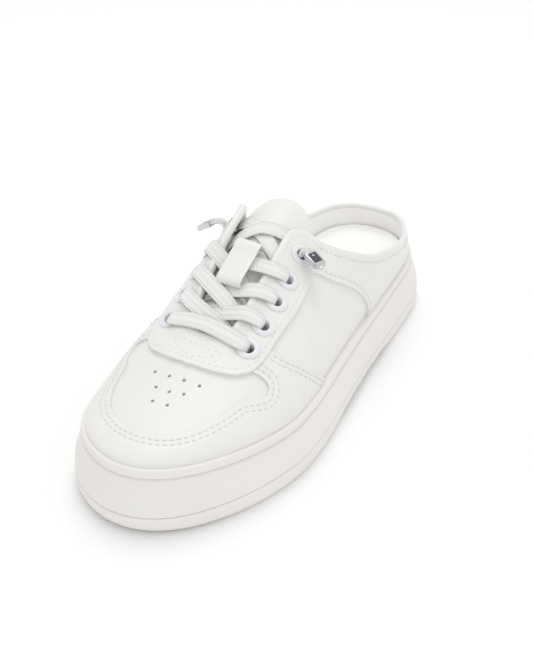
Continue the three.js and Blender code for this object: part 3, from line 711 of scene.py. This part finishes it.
def points_at(marks, run, path):
    """The points of a path where it has run to the marks."""
    return np.stack([np.interp(marks, run, path[:, i]) for i in range(path.shape[1])], 1)


def flow(points, count, scale):
    """A smooth line through given points, with evenly spaced marks."""
    points = np.array(points, float)
    legs = np.linalg.norm(np.diff(points, axis=0) * scale, axis=1)
    table = {"run": np.concatenate([[0], np.cumsum(np.sqrt(legs))])}
    for i in range(points.shape[1]):
        table[i] = points[:, i]
    fine = np.linspace(0, table["run"][-1], 24 * len(points))
    dense = np.stack([read(table, "run", i, fine) for i in range(points.shape[1])], 1)
    run = travelled(dense * scale)
    return points_at(np.linspace(0, run[-1], count), run, dense)


def mirrored(line, centre):
    """The same line or grid of spots on the other side of a turn, run the other way."""
    other = np.array(line, float)[::-1].copy()
    other[..., 0] = 2 * centre - other[..., 0]
    return other


def between_lines(first, last, count):
    """Spots between two lines, in a number of steps."""
    share = np.linspace(0, 1, count)[:, None, None]
    return first[None] * (1 - share) + last[None] * share


def cross_rows(first, last, count):
    """The same spots, in rows that run from one line to the other."""
    return between_lines(first, last, count).transpose(1, 0, 2)


def beside(line, distance):
    """A line on the face at a distance from another, above it where it runs towards the toe."""
    turn, rise = line.T
    points = face_point(turn, rise)
    side = unit(np.cross(np.gradient(points, axis=0), face_normal(turn, rise)))
    step = 1e-3
    by_turn = (face_point(turn + step, rise) - face_point(turn - step, rise)) / (2 * step)
    by_rise = (face_point(turn, rise) - face_point(turn, rise - step)) / step
    a, b, c = (by_turn * by_turn).sum(1), (by_turn * by_rise).sum(1), (by_rise * by_rise).sum(1)
    d, e = (side * by_turn).sum(1) * distance, (side * by_rise).sum(1) * distance
    det = a * c - b * b
    return line + np.stack([(c * d - b * e) / det, (a * e - b * d) / det], 1)


thread_sink = 0.28 * MM
sink_reach = 0.9 * MM
batch = 2000


def seam_depth(points, seams):
    """How far the thread of nearby seams pulls the leather down."""
    flat = points.reshape(-1, 3)
    marks = np.concatenate([face_point(*seam.T) for seam in seams])
    near = np.full(len(flat), 1.0)
    for start in range(0, len(flat), batch):
        part = flat[start : start + batch, None, :] - marks[None]
        near[start : start + batch] = np.sqrt((part**2).sum(2)).min(1)
    height = np.maximum(near**2 - layer**2, 0)
    return (thread_sink * np.exp(-height / sink_reach**2)).reshape(points.shape[:-1])


def bevel_edges(piece, width, segments, degrees):
    """Edges sharper than an angle, rounded."""
    limits = {"limit_method": "ANGLE", "angle_limit": math.radians(degrees)}
    apply_modifier(piece, "BEVEL", width=width, segments=segments, **limits)


weld_distance = 3e-5
cut_round = 0.4 * MM


def panel(name, strips, outside, seams):
    """A cut panel laid on the upper, from strips of spots, sunk along its seams."""
    parts = []
    for spots in strips:
        turn, rise = spots[..., 0], spots[..., 1]
        points = on_upper(turn, rise, outside)
        sink = np.where(rise > 1, 0, seam_depth(points, seams))
        parts.append(lay_grid(name, points - face_normal(turn, np.clip(rise, 0, 1)) * sink[..., None]))
    piece = join(parts)
    edit_mesh(bpy.ops.mesh.remove_doubles, threshold=weld_distance)
    apply_modifier(piece, "SOLIDIFY", thickness=outside, offset=-1)
    bevel_edges(piece, cut_round, 3, 55)
    smooth_by_angle(piece, 50)
    return piece


# Thread: one short twisted stitch, copied along the rows
bpy.ops.object.select_all(action="DESELECT")
bpy.ops.mesh.primitive_uv_sphere_add(segments=8, ring_count=6, radius=1)
stitch = bpy.context.object
stitch_length, stitch_width, stitch_height, stitch_pitch = 2.3 * MM, 0.75 * MM, 0.6 * MM, 3.1 * MM
stitch_points = np.array([v.co for v in stitch.data.vertices])[:, [2, 0, 1]]
stitch_points *= np.array([stitch_length, stitch_width, stitch_height]) / 2
stitch_faces = [list(f.vertices) for f in stitch.data.polygons]
bpy.data.objects.remove(stitch)

# Spun polyester thread: dull and white, a little darker than the leather
spun_thread, _, _ = new_material(
    "spun_polyester_thread_white",
    {"Base Color": linear("#d7d7d5"), "Roughness": 0.75, "Specular IOR Level": 0.25},
)


look_ahead = 0.4 * MM


def sew(name, seams, outside):
    """Stitches along each seam, half sunk in the leather, as one piece."""
    points, faces = [], []
    for seam in seams:
        path = on_upper(seam[:, 0], seam[:, 1], outside - thread_sink * 0.75)
        run = travelled(path)
        count = max(2, int(run[-1] / stitch_pitch))
        marks = (np.arange(count) + 0.5) * run[-1] / count
        places = points_at(marks, run, path)
        ahead = points_at(marks + look_ahead, run, path)
        behind = points_at(marks - look_ahead, run, path)
        normals = face_normal(*points_at(marks, run, seam).T)
        for place, forward, normal in zip(places, unit(ahead - behind), normals):
            side = np.cross(normal, forward)
            base = len(points) * len(stitch_points)
            points.append(place + stitch_points @ np.stack([forward, side, normal]))
            faces += [[base + corner for corner in face] for face in stitch_faces]
    mesh = bpy.data.meshes.new(name)
    mesh.from_pydata(np.concatenate(points).tolist(), [], faces)
    piece = bpy.data.objects.new(name, mesh)
    bpy.context.collection.objects.link(piece)
    mesh.shade_smooth()
    finish_piece(piece, spun_thread, "upper_leather")


wing_rows = 34
wing_low_rows = 18
guard_count = 300
guard_turn = 0.692
wing_seam = flow(
    [(0.561, lip_clear), (0.597, 0.194), (0.625, 0.344), (0.649, 0.475), (0.672, 0.64)],
    wing_rows,
    face_scale,
)
guard_side = [
    (0.696, 0.372), (0.707, 0.38), (0.72, 0.405), (0.739, 0.444), (0.755, 0.455),
    (0.785, 0.435), (0.817, 0.413), (0.87, 0.387), (0.935, 0.381),
]
guard_edge = flow([*guard_side, (1, 0.39), *mirrored(guard_side, 1)], guard_count, face_scale)
guard_turns = np.linspace(guard_turn, loop_turn - guard_turn, guard_count)
guard_foot = np.stack([guard_turns, np.full(guard_count, lip_clear)], 1)
wing_low = between_lines(guard_foot[:1], guard_edge[:1], wing_low_rows)[:, 0]
wing_high = flow(
    [
        (0.696, 0.372), (0.6905, 0.4), (0.6895, 0.44), (0.694, 0.49),
        (0.7, 0.54), (0.708, 0.585), (0.716, 0.64),
    ],
    wing_rows - wing_low_rows + 1,
    face_scale,
)
outer_wing = between_lines(wing_seam, np.concatenate([wing_low, wing_high[1:]]), 56)
guard_strip = cross_rows(guard_foot, guard_edge, wing_low_rows)
whole_edge = np.concatenate([wing_high[:0:-1], guard_edge, mirrored(wing_high[:0:-1], 1)])
guard_line = flow(whole_edge[2:-2:5], 260, face_scale)
wing_back = wing_seam[2:-3]
guard_seams = [beside(guard_line, -away) for away in (2.4 * MM, 5.0 * MM)]
for line in (wing_back, mirrored(wing_back, 1)):
    guard_seams += [beside(line, -away) for away in (1.6 * MM, 4.2 * MM)]
guard_strips = [outer_wing, guard_strip, mirrored(outer_wing, 1)]
toe_guard = panel("toe_guard_leather", guard_strips, layer, guard_seams)
finish_piece(toe_guard, coated_leather, "upper_leather", "toe_guard")
sew("toe_guard_stitches", guard_seams, layer)

# Heel panel: leather round the back of the foot. Its front edge is folded and curves up to the
# eyelet stay on each side, and its top is turned over the collar and stitched.
panel_turn = 0.33
front_low_rows = 30
front_rows = 54
high_rows = front_rows - front_low_rows + 1
heel_count = 190
front_edge = flow(
    [
        (0.408, lip_clear), (0.408, 0.113), (0.415, 0.256), (0.429, 0.419),
        (0.447, 0.544), (0.469, 0.619), (0.506, 0.675), (0.545, 0.7),
    ],
    front_rows,
    face_scale,
)
back_low = np.stack([np.full(front_low_rows, panel_turn), np.linspace(lip_clear, 1, front_low_rows)], 1)
back_high = np.stack([np.linspace(panel_turn, 0.528, high_rows), np.ones(high_rows)], 1)
outer_front = between_lines(np.concatenate([back_low, back_high[1:]]), front_edge, 40)
heel_turns = np.linspace(-panel_turn, panel_turn, heel_count)
heel_foot = np.stack([heel_turns, np.full(heel_count, lip_clear)], 1)
heel_head = np.stack([heel_turns, np.ones(heel_count)], 1)
heel_strip = cross_rows(heel_foot, heel_head, front_low_rows)
collar_line = np.concatenate([mirrored(back_high, 0)[:-1], heel_head, back_high[1:]])
fold_over = np.array([0, 0.16])
just_below = np.array([0, 1e-6])
collar_strip = cross_rows(collar_line, collar_line + fold_over, 15)
heel_seams = [
    beside(front_edge[2:-2], 2.8 * MM),
    beside(mirrored(front_edge[2:-2], 0), 2.8 * MM),
    beside(collar_line[2:-2] - just_below, -3.0 * MM),
]
heel_strips = [mirrored(outer_front, 0), heel_strip, outer_front, collar_strip]
heel_panel = panel("heel_panel_leather", heel_strips, layer, heel_seams)
finish_piece(heel_panel, coated_leather, "upper_leather", "heel_panel")
sew("heel_panel_stitches", heel_seams, layer)

# Eyelet stay: the band of leather round the throat that carries the eyelets. It is laid over the
# wings and the heel panel, stitched near both edges, and has a lens-shaped bar sewn at its front.
stay_face = 2.0 * MM
stay_count = 300
stay_side = [
    (0.548, 0.69), (0.561, 0.625), (0.594, 0.6), (0.638, 0.612), (0.665, 0.606), (0.686, 0.594),
    (0.71, 0.604), (0.736, 0.65), (0.765, 0.7), (0.8, 0.76), (0.87, 0.82), (0.94, 0.845),
]
stay_outer = flow([*stay_side, (1, 0.85), *mirrored(stay_side, 1)], stay_count, face_scale)
throat_marks = (0.503, 0.56, 0.63, 0.7, 0.78, 1, 1.22, 1.3, 1.37, 1.44, 1.497)
throat_line = flow([(turn, 1) for turn in throat_marks], stay_count, face_scale)
stay_strip = cross_rows(stay_outer, throat_line, 24)
throat_strip = cross_rows(throat_line, throat_line + fold_over, 15)
lens_low = flow(
    [(1.229, 0.881), (1.133, 0.888), (1.0, 0.89), (0.924, 0.888), (0.836, 0.878), (0.783, 0.872)],
    60,
    face_scale,
)
lens_high = flow(
    [
        (1.229, 0.881), (1.178, 0.925), (1.082, 0.945), (1.0, 0.948),
        (0.953, 0.944), (0.87, 0.925), (0.81, 0.9), (0.783, 0.872),
    ],
    60,
    face_scale,
)
stay_rear = flow([(0.5075, 0.97), (0.518, 0.9), (0.534, 0.79), (0.545, 0.715)], 30, face_scale)[::-1]
stay_seams = [
    beside(stay_outer[2:-2], 2.5 * MM),
    beside(throat_line[3:-3] - just_below, -2.0 * MM),
    beside(stay_rear, -2.2 * MM),
    beside(mirrored(stay_rear, 1), -2.2 * MM),
    lens_low,
    lens_high[2:-2],
]
eyestay = panel("eyelet_stay_leather", [stay_strip, throat_strip], stay_face, stay_seams)
apply_modifier(eyestay, "BOOLEAN", operation="DIFFERENCE", object=eyelet_punch, solver="EXACT")
bpy.data.objects.remove(eyelet_punch)
finish_piece(eyestay, coated_leather, "upper_leather", "eyestay")
sew("eyelet_stay_stitches", stay_seams, stay_face)

# Tongue: padded leather under the throat, crowned over the foot and rounded at the top, sewn to
# the front of the throat
tongue_wall = 3 * MM
tongue_chart = chart(
    "along centre outer inner crown outer_drop inner_drop",
    [
        (0.39, -0.06, 0.045, 0.045, 1.0, 0.008, 0.008),
        (0.3925, -0.06, 0.085, 0.085, 1.003, 0.032, 0.03),
        (0.398, -0.06, 0.122, 0.122, 1.006, 0.075, 0.065),
        (0.408, -0.06, 0.155, 0.155, 1.009, 0.135, 0.105),
        (0.422, -0.058, 0.182, 0.18, 1.003, 0.2, 0.15),
        (0.44, -0.055, 0.203, 0.198, 0.99, 0.26, 0.185),
        (0.5, -0.045, 0.23, 0.215, 0.92, 0.335, 0.225),
        (0.54, -0.037, 0.24, 0.225, 0.855, 0.345, 0.24),
        (0.575, -0.03, 0.25, 0.24, 0.79, 0.335, 0.255),
        (0.65, -0.02, 0.25, 0.25, 0.61, 0.235, 0.19),
        (0.705, -0.012, 0.225, 0.225, 0.455, 0.125, 0.11),
        (0.735, -0.01, 0.19, 0.19, 0.375, 0.065, 0.06),
        (0.765, -0.01, 0.13, 0.13, 0.31, 0.035, 0.035),
    ],
)


def tongue_read(column, along):
    return read(tongue_chart, "along", column, along)


def tongue_top(along, across):
    """A point of the tongue's outer face: across is -1 at the inner side, 1 at the outer."""
    along, across = np.broadcast_arrays(np.asarray(along, float), np.asarray(across, float))
    half = np.where(across > 0, tongue_read("outer", along), tongue_read("inner", along))
    drop = np.where(across > 0, tongue_read("outer_drop", along), tongue_read("inner_drop", along))
    x = (tongue_read("centre", along) + across * half) * ball_width + sole_shift
    z = riser + (tongue_read("crown", along) - drop * np.abs(across) ** 2.2) * instep_height
    return np.stack([x, last_length * (0.5 - along), z], -1)


def tongue_normal(along, across):
    step = 0.01
    run = tongue_top(along - step, across) - tongue_top(along + step, across)
    over = tongue_top(along, across + step) - tongue_top(along, across - step)
    return unit(np.cross(over, run))


tongue_rear = 0.39
tongue_run = 0.375
tongue_alongs = tongue_rear + tongue_run * np.linspace(0, 1, 90)[:, None] ** 1.15
tongue_across = np.linspace(1, -1, 47)[None, :]
tongue = lay_grid("tongue_leather", tongue_top(tongue_alongs, tongue_across))
apply_modifier(tongue, "SOLIDIFY", thickness=tongue_wall, offset=-1)
bevel_edges(tongue, 1.3 * MM, 5, 55)
smooth_by_angle(tongue, 60)
finish_piece(tongue, coated_leather, "upper_leather", "tongue")

# Eyelets: rings turned up from enamelled metal, a domed flange over a short barrel. One is
# shaped and copied to each of the ten holes.
eyelet_diameter = 11 * MM
flange_height = 1.1 * MM
eyelet_seat = stay_face + 0.05 * MM
eyelet_profile = [
    (eyelet_bore / 2, -upper_wall - 0.3 * MM),
    (eyelet_bore / 2, eyelet_seat + 0.1 * MM),
    (eyelet_bore / 2 + 0.15 * MM, eyelet_seat + 0.5 * MM),
    (eyelet_bore / 2 + 0.5 * MM, eyelet_seat + 0.78 * MM),
    (eyelet_bore / 2 + 1.0 * MM, eyelet_seat + 0.86 * MM),
    (eyelet_diameter / 2 - 0.9 * MM, eyelet_seat + 0.74 * MM),
    (eyelet_diameter / 2 - 0.3 * MM, eyelet_seat + 0.5 * MM),
    (eyelet_diameter / 2, eyelet_seat + 0.15 * MM),
    (eyelet_diameter / 2 - 0.3 * MM, eyelet_seat - 0.05 * MM),
    (barrel_radius, eyelet_seat - 0.1 * MM),
    (barrel_radius, -upper_wall - 0.3 * MM),
    (eyelet_bore / 2, -upper_wall - 0.3 * MM),
]
eyelet_sides = 36
first_radius, first_height = eyelet_profile[0]
bpy.ops.object.select_all(action="DESELECT")
bpy.ops.mesh.primitive_circle_add(vertices=eyelet_sides, radius=first_radius, location=(0, 0, first_height))
ring_model = bpy.context.object
bpy.ops.object.transform_apply(location=True, rotation=True, scale=True)
bpy.ops.object.mode_set(mode="EDIT")
bpy.ops.mesh.select_all(action="SELECT")
for (radius, height), (next_radius, next_height) in zip(eyelet_profile, eyelet_profile[1:]):
    bpy.ops.mesh.extrude_edges_move(TRANSFORM_OT_translate={"value": (0, 0, next_height - height)})
    widen = next_radius / radius
    bpy.ops.transform.resize(value=(widen, widen, 1), center_override=(0, 0, next_height))
bpy.ops.object.mode_set(mode="OBJECT")
edit_mesh(bpy.ops.mesh.remove_doubles, threshold=1e-6)
edit_mesh(bpy.ops.mesh.normals_make_consistent, inside=False)
smooth_by_angle(ring_model, 50)

# Baked enamel on pressed metal: a smooth coat, bluish white, with small clear highlights
enamel, _, _ = new_material(
    "baked_enamel_bluish_white",
    {"Base Color": linear("#e4e4e8"), "Roughness": 0.28, "Coat Weight": 0.4, "Coat Roughness": 0.12},
)
for name, (turn, rise) in eyelet_spots.items():
    eyelet = bpy.data.objects.new(f"eyelet_{name}_ring", ring_model.data.copy())
    bpy.context.collection.objects.link(eyelet)
    facing = Vector(face_normal(turn, rise)).to_track_quat("Z", "Y").to_matrix().to_4x4()
    eyelet.data.transform(Matrix.Translation(Vector(face_point(turn, rise))) @ facing)
    finish_piece(eyelet, enamel, "eyelets", f"eyelet_{name}")
bpy.data.objects.remove(ring_model)

# Laces: one flat woven elastic band with five cords in its width. It runs straight across the
# first pair of eyelets, then each strand comes out from under one side of the throat, crosses
# the tongue and goes down through the next eyelet on the other side.
lace_width = 7.8 * MM
lace_thickness = 1.35 * MM
lace_cords = 5
cord_relief = 0.4
band_sides = 36


def lay_band(name, stops, looks, widths, thicks, count, relief=cord_relief):
    """A flat band along given stops. Its UV map holds millimetres, across and along."""
    sizes = np.stack([widths, thicks], 1)
    rows = np.concatenate([np.array(stops) / MM, looks, sizes / MM], 1)
    line = flow(rows, count, np.array([1, 1, 1, 0, 0, 0, 0, 0]))
    path = line[:, :3] * MM
    run = unit(np.gradient(path, axis=0))
    across = unit(np.cross(run, line[:, 3:6]))
    face = np.cross(across, run)
    angle = np.linspace(0, 2 * math.pi, band_sides + 1)
    side = np.sign(np.cos(angle)) * np.abs(np.cos(angle)) ** 0.75
    height = np.sign(np.sin(angle)) * np.abs(np.sin(angle)) ** 0.4
    ribs = 1 - relief * (0.5 + 0.5 * np.cos(side * lace_cords * math.pi)) * (np.abs(side) < 0.97)
    section_x = side[None] * line[:, 6:7] * MM / 2
    section_z = (height * ribs)[None] * line[:, 7:8] * MM / 2
    points = path[:, None] + across[:, None] * section_x[..., None] + face[:, None] * section_z[..., None]
    start, end = [np.repeat(path[i][None, None], band_sides + 1, 1) for i in (0, -1)]
    piece = lay_grid(name, np.concatenate([start, points, end]))
    edit_mesh(bpy.ops.mesh.normals_make_consistent, inside=False)
    length = np.linalg.norm(np.diff(path, axis=0), axis=1).sum() / MM
    corners = piece.data.uv_layers[0].data
    marks = np.zeros(len(corners) * 2, np.float32)
    corners.foreach_get("uv", marks)
    marks = marks.reshape(-1, 2) * np.array([2 * lace_width / MM, length])
    corners.foreach_set("uv", marks.astype(np.float32).reshape(-1))
    return piece


def on_tongue(x, y, offset):
    along = 0.5 - y / last_length
    away = (x - sole_shift) / ball_width - tongue_read("centre", along)
    across = away / tongue_read("outer" if away > 0 else "inner", along)
    look = tongue_normal(along, across)
    return tongue_top(along, across) + look * offset, look


# Woven elastic: rubber cores bound in polyester and woven flat, dull, with a rib over each core
# and fine threads across. The threads are drawn coarser than the real ones.
pick_spacing = 0.9
cord_spacing = 1.56
pick_share = 0.3
woven_elastic, tree, elastic_shader = new_material(
    "woven_elastic_white",
    {"Base Color": linear("#eae9e7"), "Roughness": 0.85, "Specular IOR Level": 0.2, "Sheen Weight": 0.15},
)
elastic_marks = add_node(tree, "ShaderNodeUVMap")
elastic_axes = add_node(tree, "ShaderNodeSeparateXYZ", links={"Vector": elastic_marks.outputs[0]})
waves = []
for axis, spacing in (("Y", pick_spacing), ("X", cord_spacing)):
    wave_settings = {"operation": "MULTIPLY", 1: 2 * math.pi / spacing}
    wave = add_node(tree, "ShaderNodeMath", wave_settings, {0: elastic_axes.outputs[axis]})
    waves.append(add_node(tree, "ShaderNodeMath", {"operation": "SINE"}, {0: wave.outputs[0]}).outputs[0])
weave_settings = {"operation": "MULTIPLY_ADD", 1: pick_share}
weave = add_node(tree, "ShaderNodeMath", weave_settings, {0: waves[0], 2: waves[1]})
add_bump(tree, elastic_shader, weave.outputs[0], 0.85, 0.16 * MM)

hole_width = 5.3 * MM
hole_thickness = 1.6 * MM
over_stay = stay_face + 1.0 * MM
over_flange = stay_face + flange_height + 0.55 * MM


def eyelet_entry(name, travel):
    """The stops, looks, widths and thicknesses of a band that goes down through an eyelet."""
    turn, rise = eyelet_spots[name]
    centre, normal = face_point(turn, rise), face_normal(turn, rise)
    travel = unit(travel - normal * (travel @ normal))
    near = centre - travel * 0.85 * MM
    stops = [
        centre - travel * 4.6 * MM + normal * over_flange,
        centre - travel * 2.4 * MM + normal * (over_flange - 0.1 * MM),
        near + normal * (stay_face + 0.3 * MM),
        near - travel * 0.1 * MM - normal * 2.2 * MM,
        near - travel * 0.1 * MM - normal * 5 * MM,
    ]
    looks = [normal, normal + travel * 0.45, normal * 0.35 + travel, travel, travel]
    widths = [lace_width * 0.97, lace_width * 0.88, hole_width, hole_width * 0.92, hole_width * 0.9]
    thicks = [lace_thickness, lace_thickness * 1.1, hole_thickness, hole_thickness, hole_thickness]
    return stops, looks, widths, thicks


edge_share = 0.8
edge_rise = 0.985
strand_inset = 3.4 * MM
strand_seat = 1.0 * MM


def lie_on_tongue(spots):
    """The stops and the looks of a band from spots of x, y and offset."""
    stops, looks = zip(*(on_tongue(*spot) for spot in spots))
    return list(stops), list(looks)


def strand(name, start_name, end_name, rise, early):
    """A strand from under the throat's edge near one eyelet to the next eyelet across."""
    start_turn, _ = eyelet_spots[start_name]
    end_turn, end_rise = eyelet_spots[end_name]
    shift = min(start_turn, loop_turn - start_turn) - min(end_turn, loop_turn - end_turn)
    edge_turn = end_turn + edge_share * (-shift if end_turn > 1 else shift)
    start = face_point(start_turn + early * (-shift if start_turn > 1 else shift), 1)
    edge = face_point(edge_turn, 1)
    inwards = -strand_inset if start[0] > sole_shift else strand_inset
    beginning = np.array([start[0] + inwards, start[1]])
    lifts = ((-0.3, -1.2), (-0.12, -0.5), (0.08, 0.1), (0.34, rise * 0.65), (0.58, rise))
    stops, looks = lie_on_tongue(
        (*(beginning + (edge[:2] - beginning) * share), strand_seat + lift * MM) for share, lift in lifts
    )
    stops.append(on_upper(edge_turn, edge_rise, over_stay + 0.55 * MM))
    looks.append(face_normal(edge_turn, 1) * 0.75 + looks[-1] * 0.25)
    down = eyelet_entry(end_name, face_point(end_turn, end_rise) - edge)
    widths = [lace_width] * len(stops) + down[2]
    thicks = [lace_thickness] * len(stops) + down[3]
    return lay_band(name, stops + down[0], looks + down[1], widths, thicks, 110)


bar_travel = face_point(*eyelet_spots["lateral_1"]) - face_point(*eyelet_spots["medial_1"])
into_outer = eyelet_entry("lateral_1", bar_travel)
into_inner = eyelet_entry("medial_1", -bar_travel)
bar_spots = [(1.278, 0.9), (1.252, 0.995), (0.76, 0.995), (0.728, 0.89)]
bar_stops = [on_upper(turn, rise, over_stay + 0.2 * MM) for turn, rise in bar_spots]
bar_stops.insert(2, (bar_stops[1] + bar_stops[2]) / 2 + np.array([0, 0, 1.2 * MM]))
bar_looks = [face_normal(turn, rise) for turn, rise in bar_spots]
bar_looks.insert(2, face_normal(1, 1))
bar_middle = (bar_stops, bar_looks, [lace_width] * 5, [lace_thickness] * 5)
bar_rows = [back[::-1] + middle + ahead for back, middle, ahead in zip(into_inner, bar_middle, into_outer)]
lace_bar = lay_band("lace_bar_band", *bar_rows, 120)
finish_piece(lace_bar, woven_elastic, "laces", "lace_bar")

low_rise, high_rise = 1.3, 3.1
for number, early_in, early_out in ((1, 0.4, 0), (2, 0.7, 0.3), (3, 0.7, 0.3)):
    outer_rise, inner_rise = (high_rise, low_rise) if number == 3 else (low_rise, high_rise)
    for side, start, end, rise, early in (
        ("outer", "medial", "lateral", outer_rise, early_out),
        ("inner", "lateral", "medial", inner_rise, early_in),
    ):
        name = f"lace_cross_{number}_to_{side}"
        piece = strand(name, f"{start}_{number}", f"{end}_{number + 1}", rise, early)
        finish_piece(piece, woven_elastic, "laces", f"lace_cross_{number}")

rest_seat = 0.95


def resting(name, start_name, end_name, lift):
    """A strand of the last crossing, lying on the tongue with both ends under the stays."""
    start = face_point(eyelet_spots[start_name][0], 1)
    end = face_point(eyelet_spots[end_name][0], 1)
    shares = (-0.12, 0.03, 0.3, 0.55, 0.8, 0.97, 1.12)
    rises = (-0.8, 0, 0.35 * lift, lift, 0.5 * lift, 0.1, -0.6)
    stops, looks = lie_on_tongue(
        (*(start[:2] + (end[:2] - start[:2]) * share), (rest_seat + rise) * MM)
        for share, rise in zip(shares, rises)
    )
    return lay_band(name, stops, looks, [lace_width] * 7, [lace_thickness] * 7, 70)


for name, start, end, lift in (
    ("lace_cross_4_low", "lateral_4", "medial_5", 0.2),
    ("lace_cross_4_high", "medial_4", "lateral_5", 1.9),
):
    finish_piece(resting(name, start, end, lift), woven_elastic, "laces", "lace_cross_4")

# Lace loop: a strip of the same leather as the upper, folded and sewn down on the tongue. It
# stands open, and the third crossing runs through it.
loop_width = 13 * MM
loop_thickness = 1.4 * MM
loop_rise = 7 * MM
loop_centre = -0.021
loop_rows = [
    (0.629, 0.5), (0.626, 0.82), (0.603, 0.9), (0.5765, 0.93),
    (0.5527, 1.09), (0.547, 0.53), (0.5443, 0),
]
loop_seat = gap + loop_thickness / 2
loop_x = loop_centre * ball_width + sole_shift
loop_line = lie_on_tongue(
    (loop_x, (0.5 - along) * last_length, loop_seat + lift * (loop_rise - loop_seat))
    for along, lift in loop_rows
)
loop_sizes = [loop_width] * 7, [loop_thickness] * 7
tongue_loop = lay_band("tongue_loop_strip", *loop_line, *loop_sizes, 60, relief=0)
finish_piece(tongue_loop, coated_leather, "upper_leather", "tongue_loop")

# Ends of the lace: each leaves the top eyelet as a gathered stub and is closed in a folded
# nickel-plated sleeve with a painted dark reflection on its face, held by a pin
lace_end_diameter = 3.2 * MM
clip_length = 10 * MM
clip_width = 6.2 * MM
clip_thickness = 2.8 * MM
clip_end_round = 2.6 * MM
clip_edge_round = 0.4 * MM
clip_face_area = 20 * MM * MM
rim_width = 0.55 * MM
rim_slope = 0.12 * MM
rim_depth = 0.15 * MM
pin_radius = 0.6 * MM
pin_stand = 0.3 * MM
pin_place = 2.4 * MM
end_routes = {
    "lateral": [(2, -0.5, 3.1), (3.4, -1, 4.8), (5, -1.6, 5), (6.6, -2.2, 4.3)],
    "medial": [(-3, -0.2, 2.2), (-5.1, -0.4, 3.2), (-7.7, -0.5, 2.8), (-10.3, -0.3, 1.2)],
}

# Nickel plate, polished bright at the rim. The face is the same polished plate with a painted reflection: a
# dark grey, finely mottled by noise, stands in for a dark surround mirrored in it
nickel, _, _ = new_material(
    "nickel_plated_steel_polished", {"Base Color": linear("#d2d2d6"), "Metallic": 1.0, "Roughness": 0.16}
)
# Painted reflection: the face's dark mottled colour stands in for a dark surround seen in the polish
reflection_mottle_size = 0.8 * MM
reflection_painted_face, tree, reflection_face_shader = new_material("polished_nickel_face_painted_reflection", {"Metallic": 1.0, "Roughness": 0.3})
reflection_mottle = add_texture(tree, "ShaderNodeTexNoise", reflection_mottle_size, {"Detail": 2.0})
add_tint(tree, reflection_face_shader, reflection_mottle.outputs["Fac"], "#414144", "#6e6e72")
for side, route in end_routes.items():
    turn, rise = eyelet_spots[f"{side}_5"]
    centre, normal = face_point(turn, rise), face_normal(turn, rise)
    steps = [centre + np.array(offset) * MM for offset in route]
    first = steps[0] - centre
    forward = unit(steps[-1] - steps[-2])
    up = np.array([0, 0, 1.0])
    stops = [centre + first * 0.25 - normal * 4 * MM, centre + first * 0.3 + normal * 0.8 * MM] + steps
    stops.append(steps[-1] + forward * 1.2 * MM)
    looks = [unit(first)] * 2 + [up] * 5
    widths = [hole_width * 0.9, hole_width * 0.85] + [lace_end_diameter * 1.15] * 5
    stub = lay_band(f"lace_end_{side}_stub", stops, looks, widths, [lace_end_diameter * 0.8] * 7, 50)
    finish_piece(stub, woven_elastic, "laces", f"lace_end_{side}")
    wide = unit(np.cross(forward, up))
    place = Matrix(np.stack([wide, forward, np.cross(wide, forward)], 1).tolist()).to_4x4()
    place.translation = Vector(steps[-1])
    bpy.ops.object.select_all(action="DESELECT")
    bpy.ops.mesh.primitive_cube_add(
        size=1, location=(0, clip_length / 2, 0), scale=(clip_width, clip_length, clip_thickness)
    )
    clip = bpy.context.object
    clip.name = f"clip_{side}_sleeve"
    bpy.ops.object.transform_apply(location=True, rotation=True, scale=True)
    bpy.ops.object.mode_set(mode="EDIT")
    bpy.ops.mesh.select_all(action="DESELECT")
    bpy.ops.object.mode_set(mode="OBJECT")
    for edge in clip.data.edges:
        ends = [clip.data.vertices[i].co for i in edge.vertices]
        edge.select = all(end.y > clip_length * 0.9 for end in ends) and abs(ends[0].x - ends[1].x) < 1e-6
    bpy.ops.object.mode_set(mode="EDIT")
    bpy.ops.mesh.bevel(offset=clip_end_round, segments=6)
    bpy.ops.object.mode_set(mode="OBJECT")
    bevel_edges(clip, clip_edge_round, 3, 60)
    for face in clip.data.polygons:
        face.select = abs(face.normal.z) > 0.99 and face.area > clip_face_area
    bpy.ops.object.mode_set(mode="EDIT")
    bpy.ops.mesh.inset(thickness=rim_width, depth=0)
    bpy.ops.mesh.inset(thickness=rim_slope, depth=-rim_depth)
    bpy.ops.object.mode_set(mode="OBJECT")
    clip.data.materials.append(nickel)
    # The inset face gets the painted dark reflection, the rim the bright nickel
    clip.data.materials.append(reflection_painted_face)
    for face in clip.data.polygons:
        face.material_index = 1 if face.select else 0
    smooth_by_angle(clip, 40)
    bpy.ops.object.select_all(action="DESELECT")
    bpy.ops.mesh.primitive_cylinder_add(
        vertices=16, radius=pin_radius, depth=clip_thickness + pin_stand, location=(0, pin_place, 0)
    )
    pin = bpy.context.object
    pin.data.materials.append(nickel)
    apply_modifier(pin, "BEVEL", width=0.15 * MM, segments=2)
    bpy.ops.object.transform_apply(location=True, rotation=True, scale=True)
    join([clip, pin])
    clip.data.transform(place)
    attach(clip, "root")
    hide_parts(f"clip_{side}")
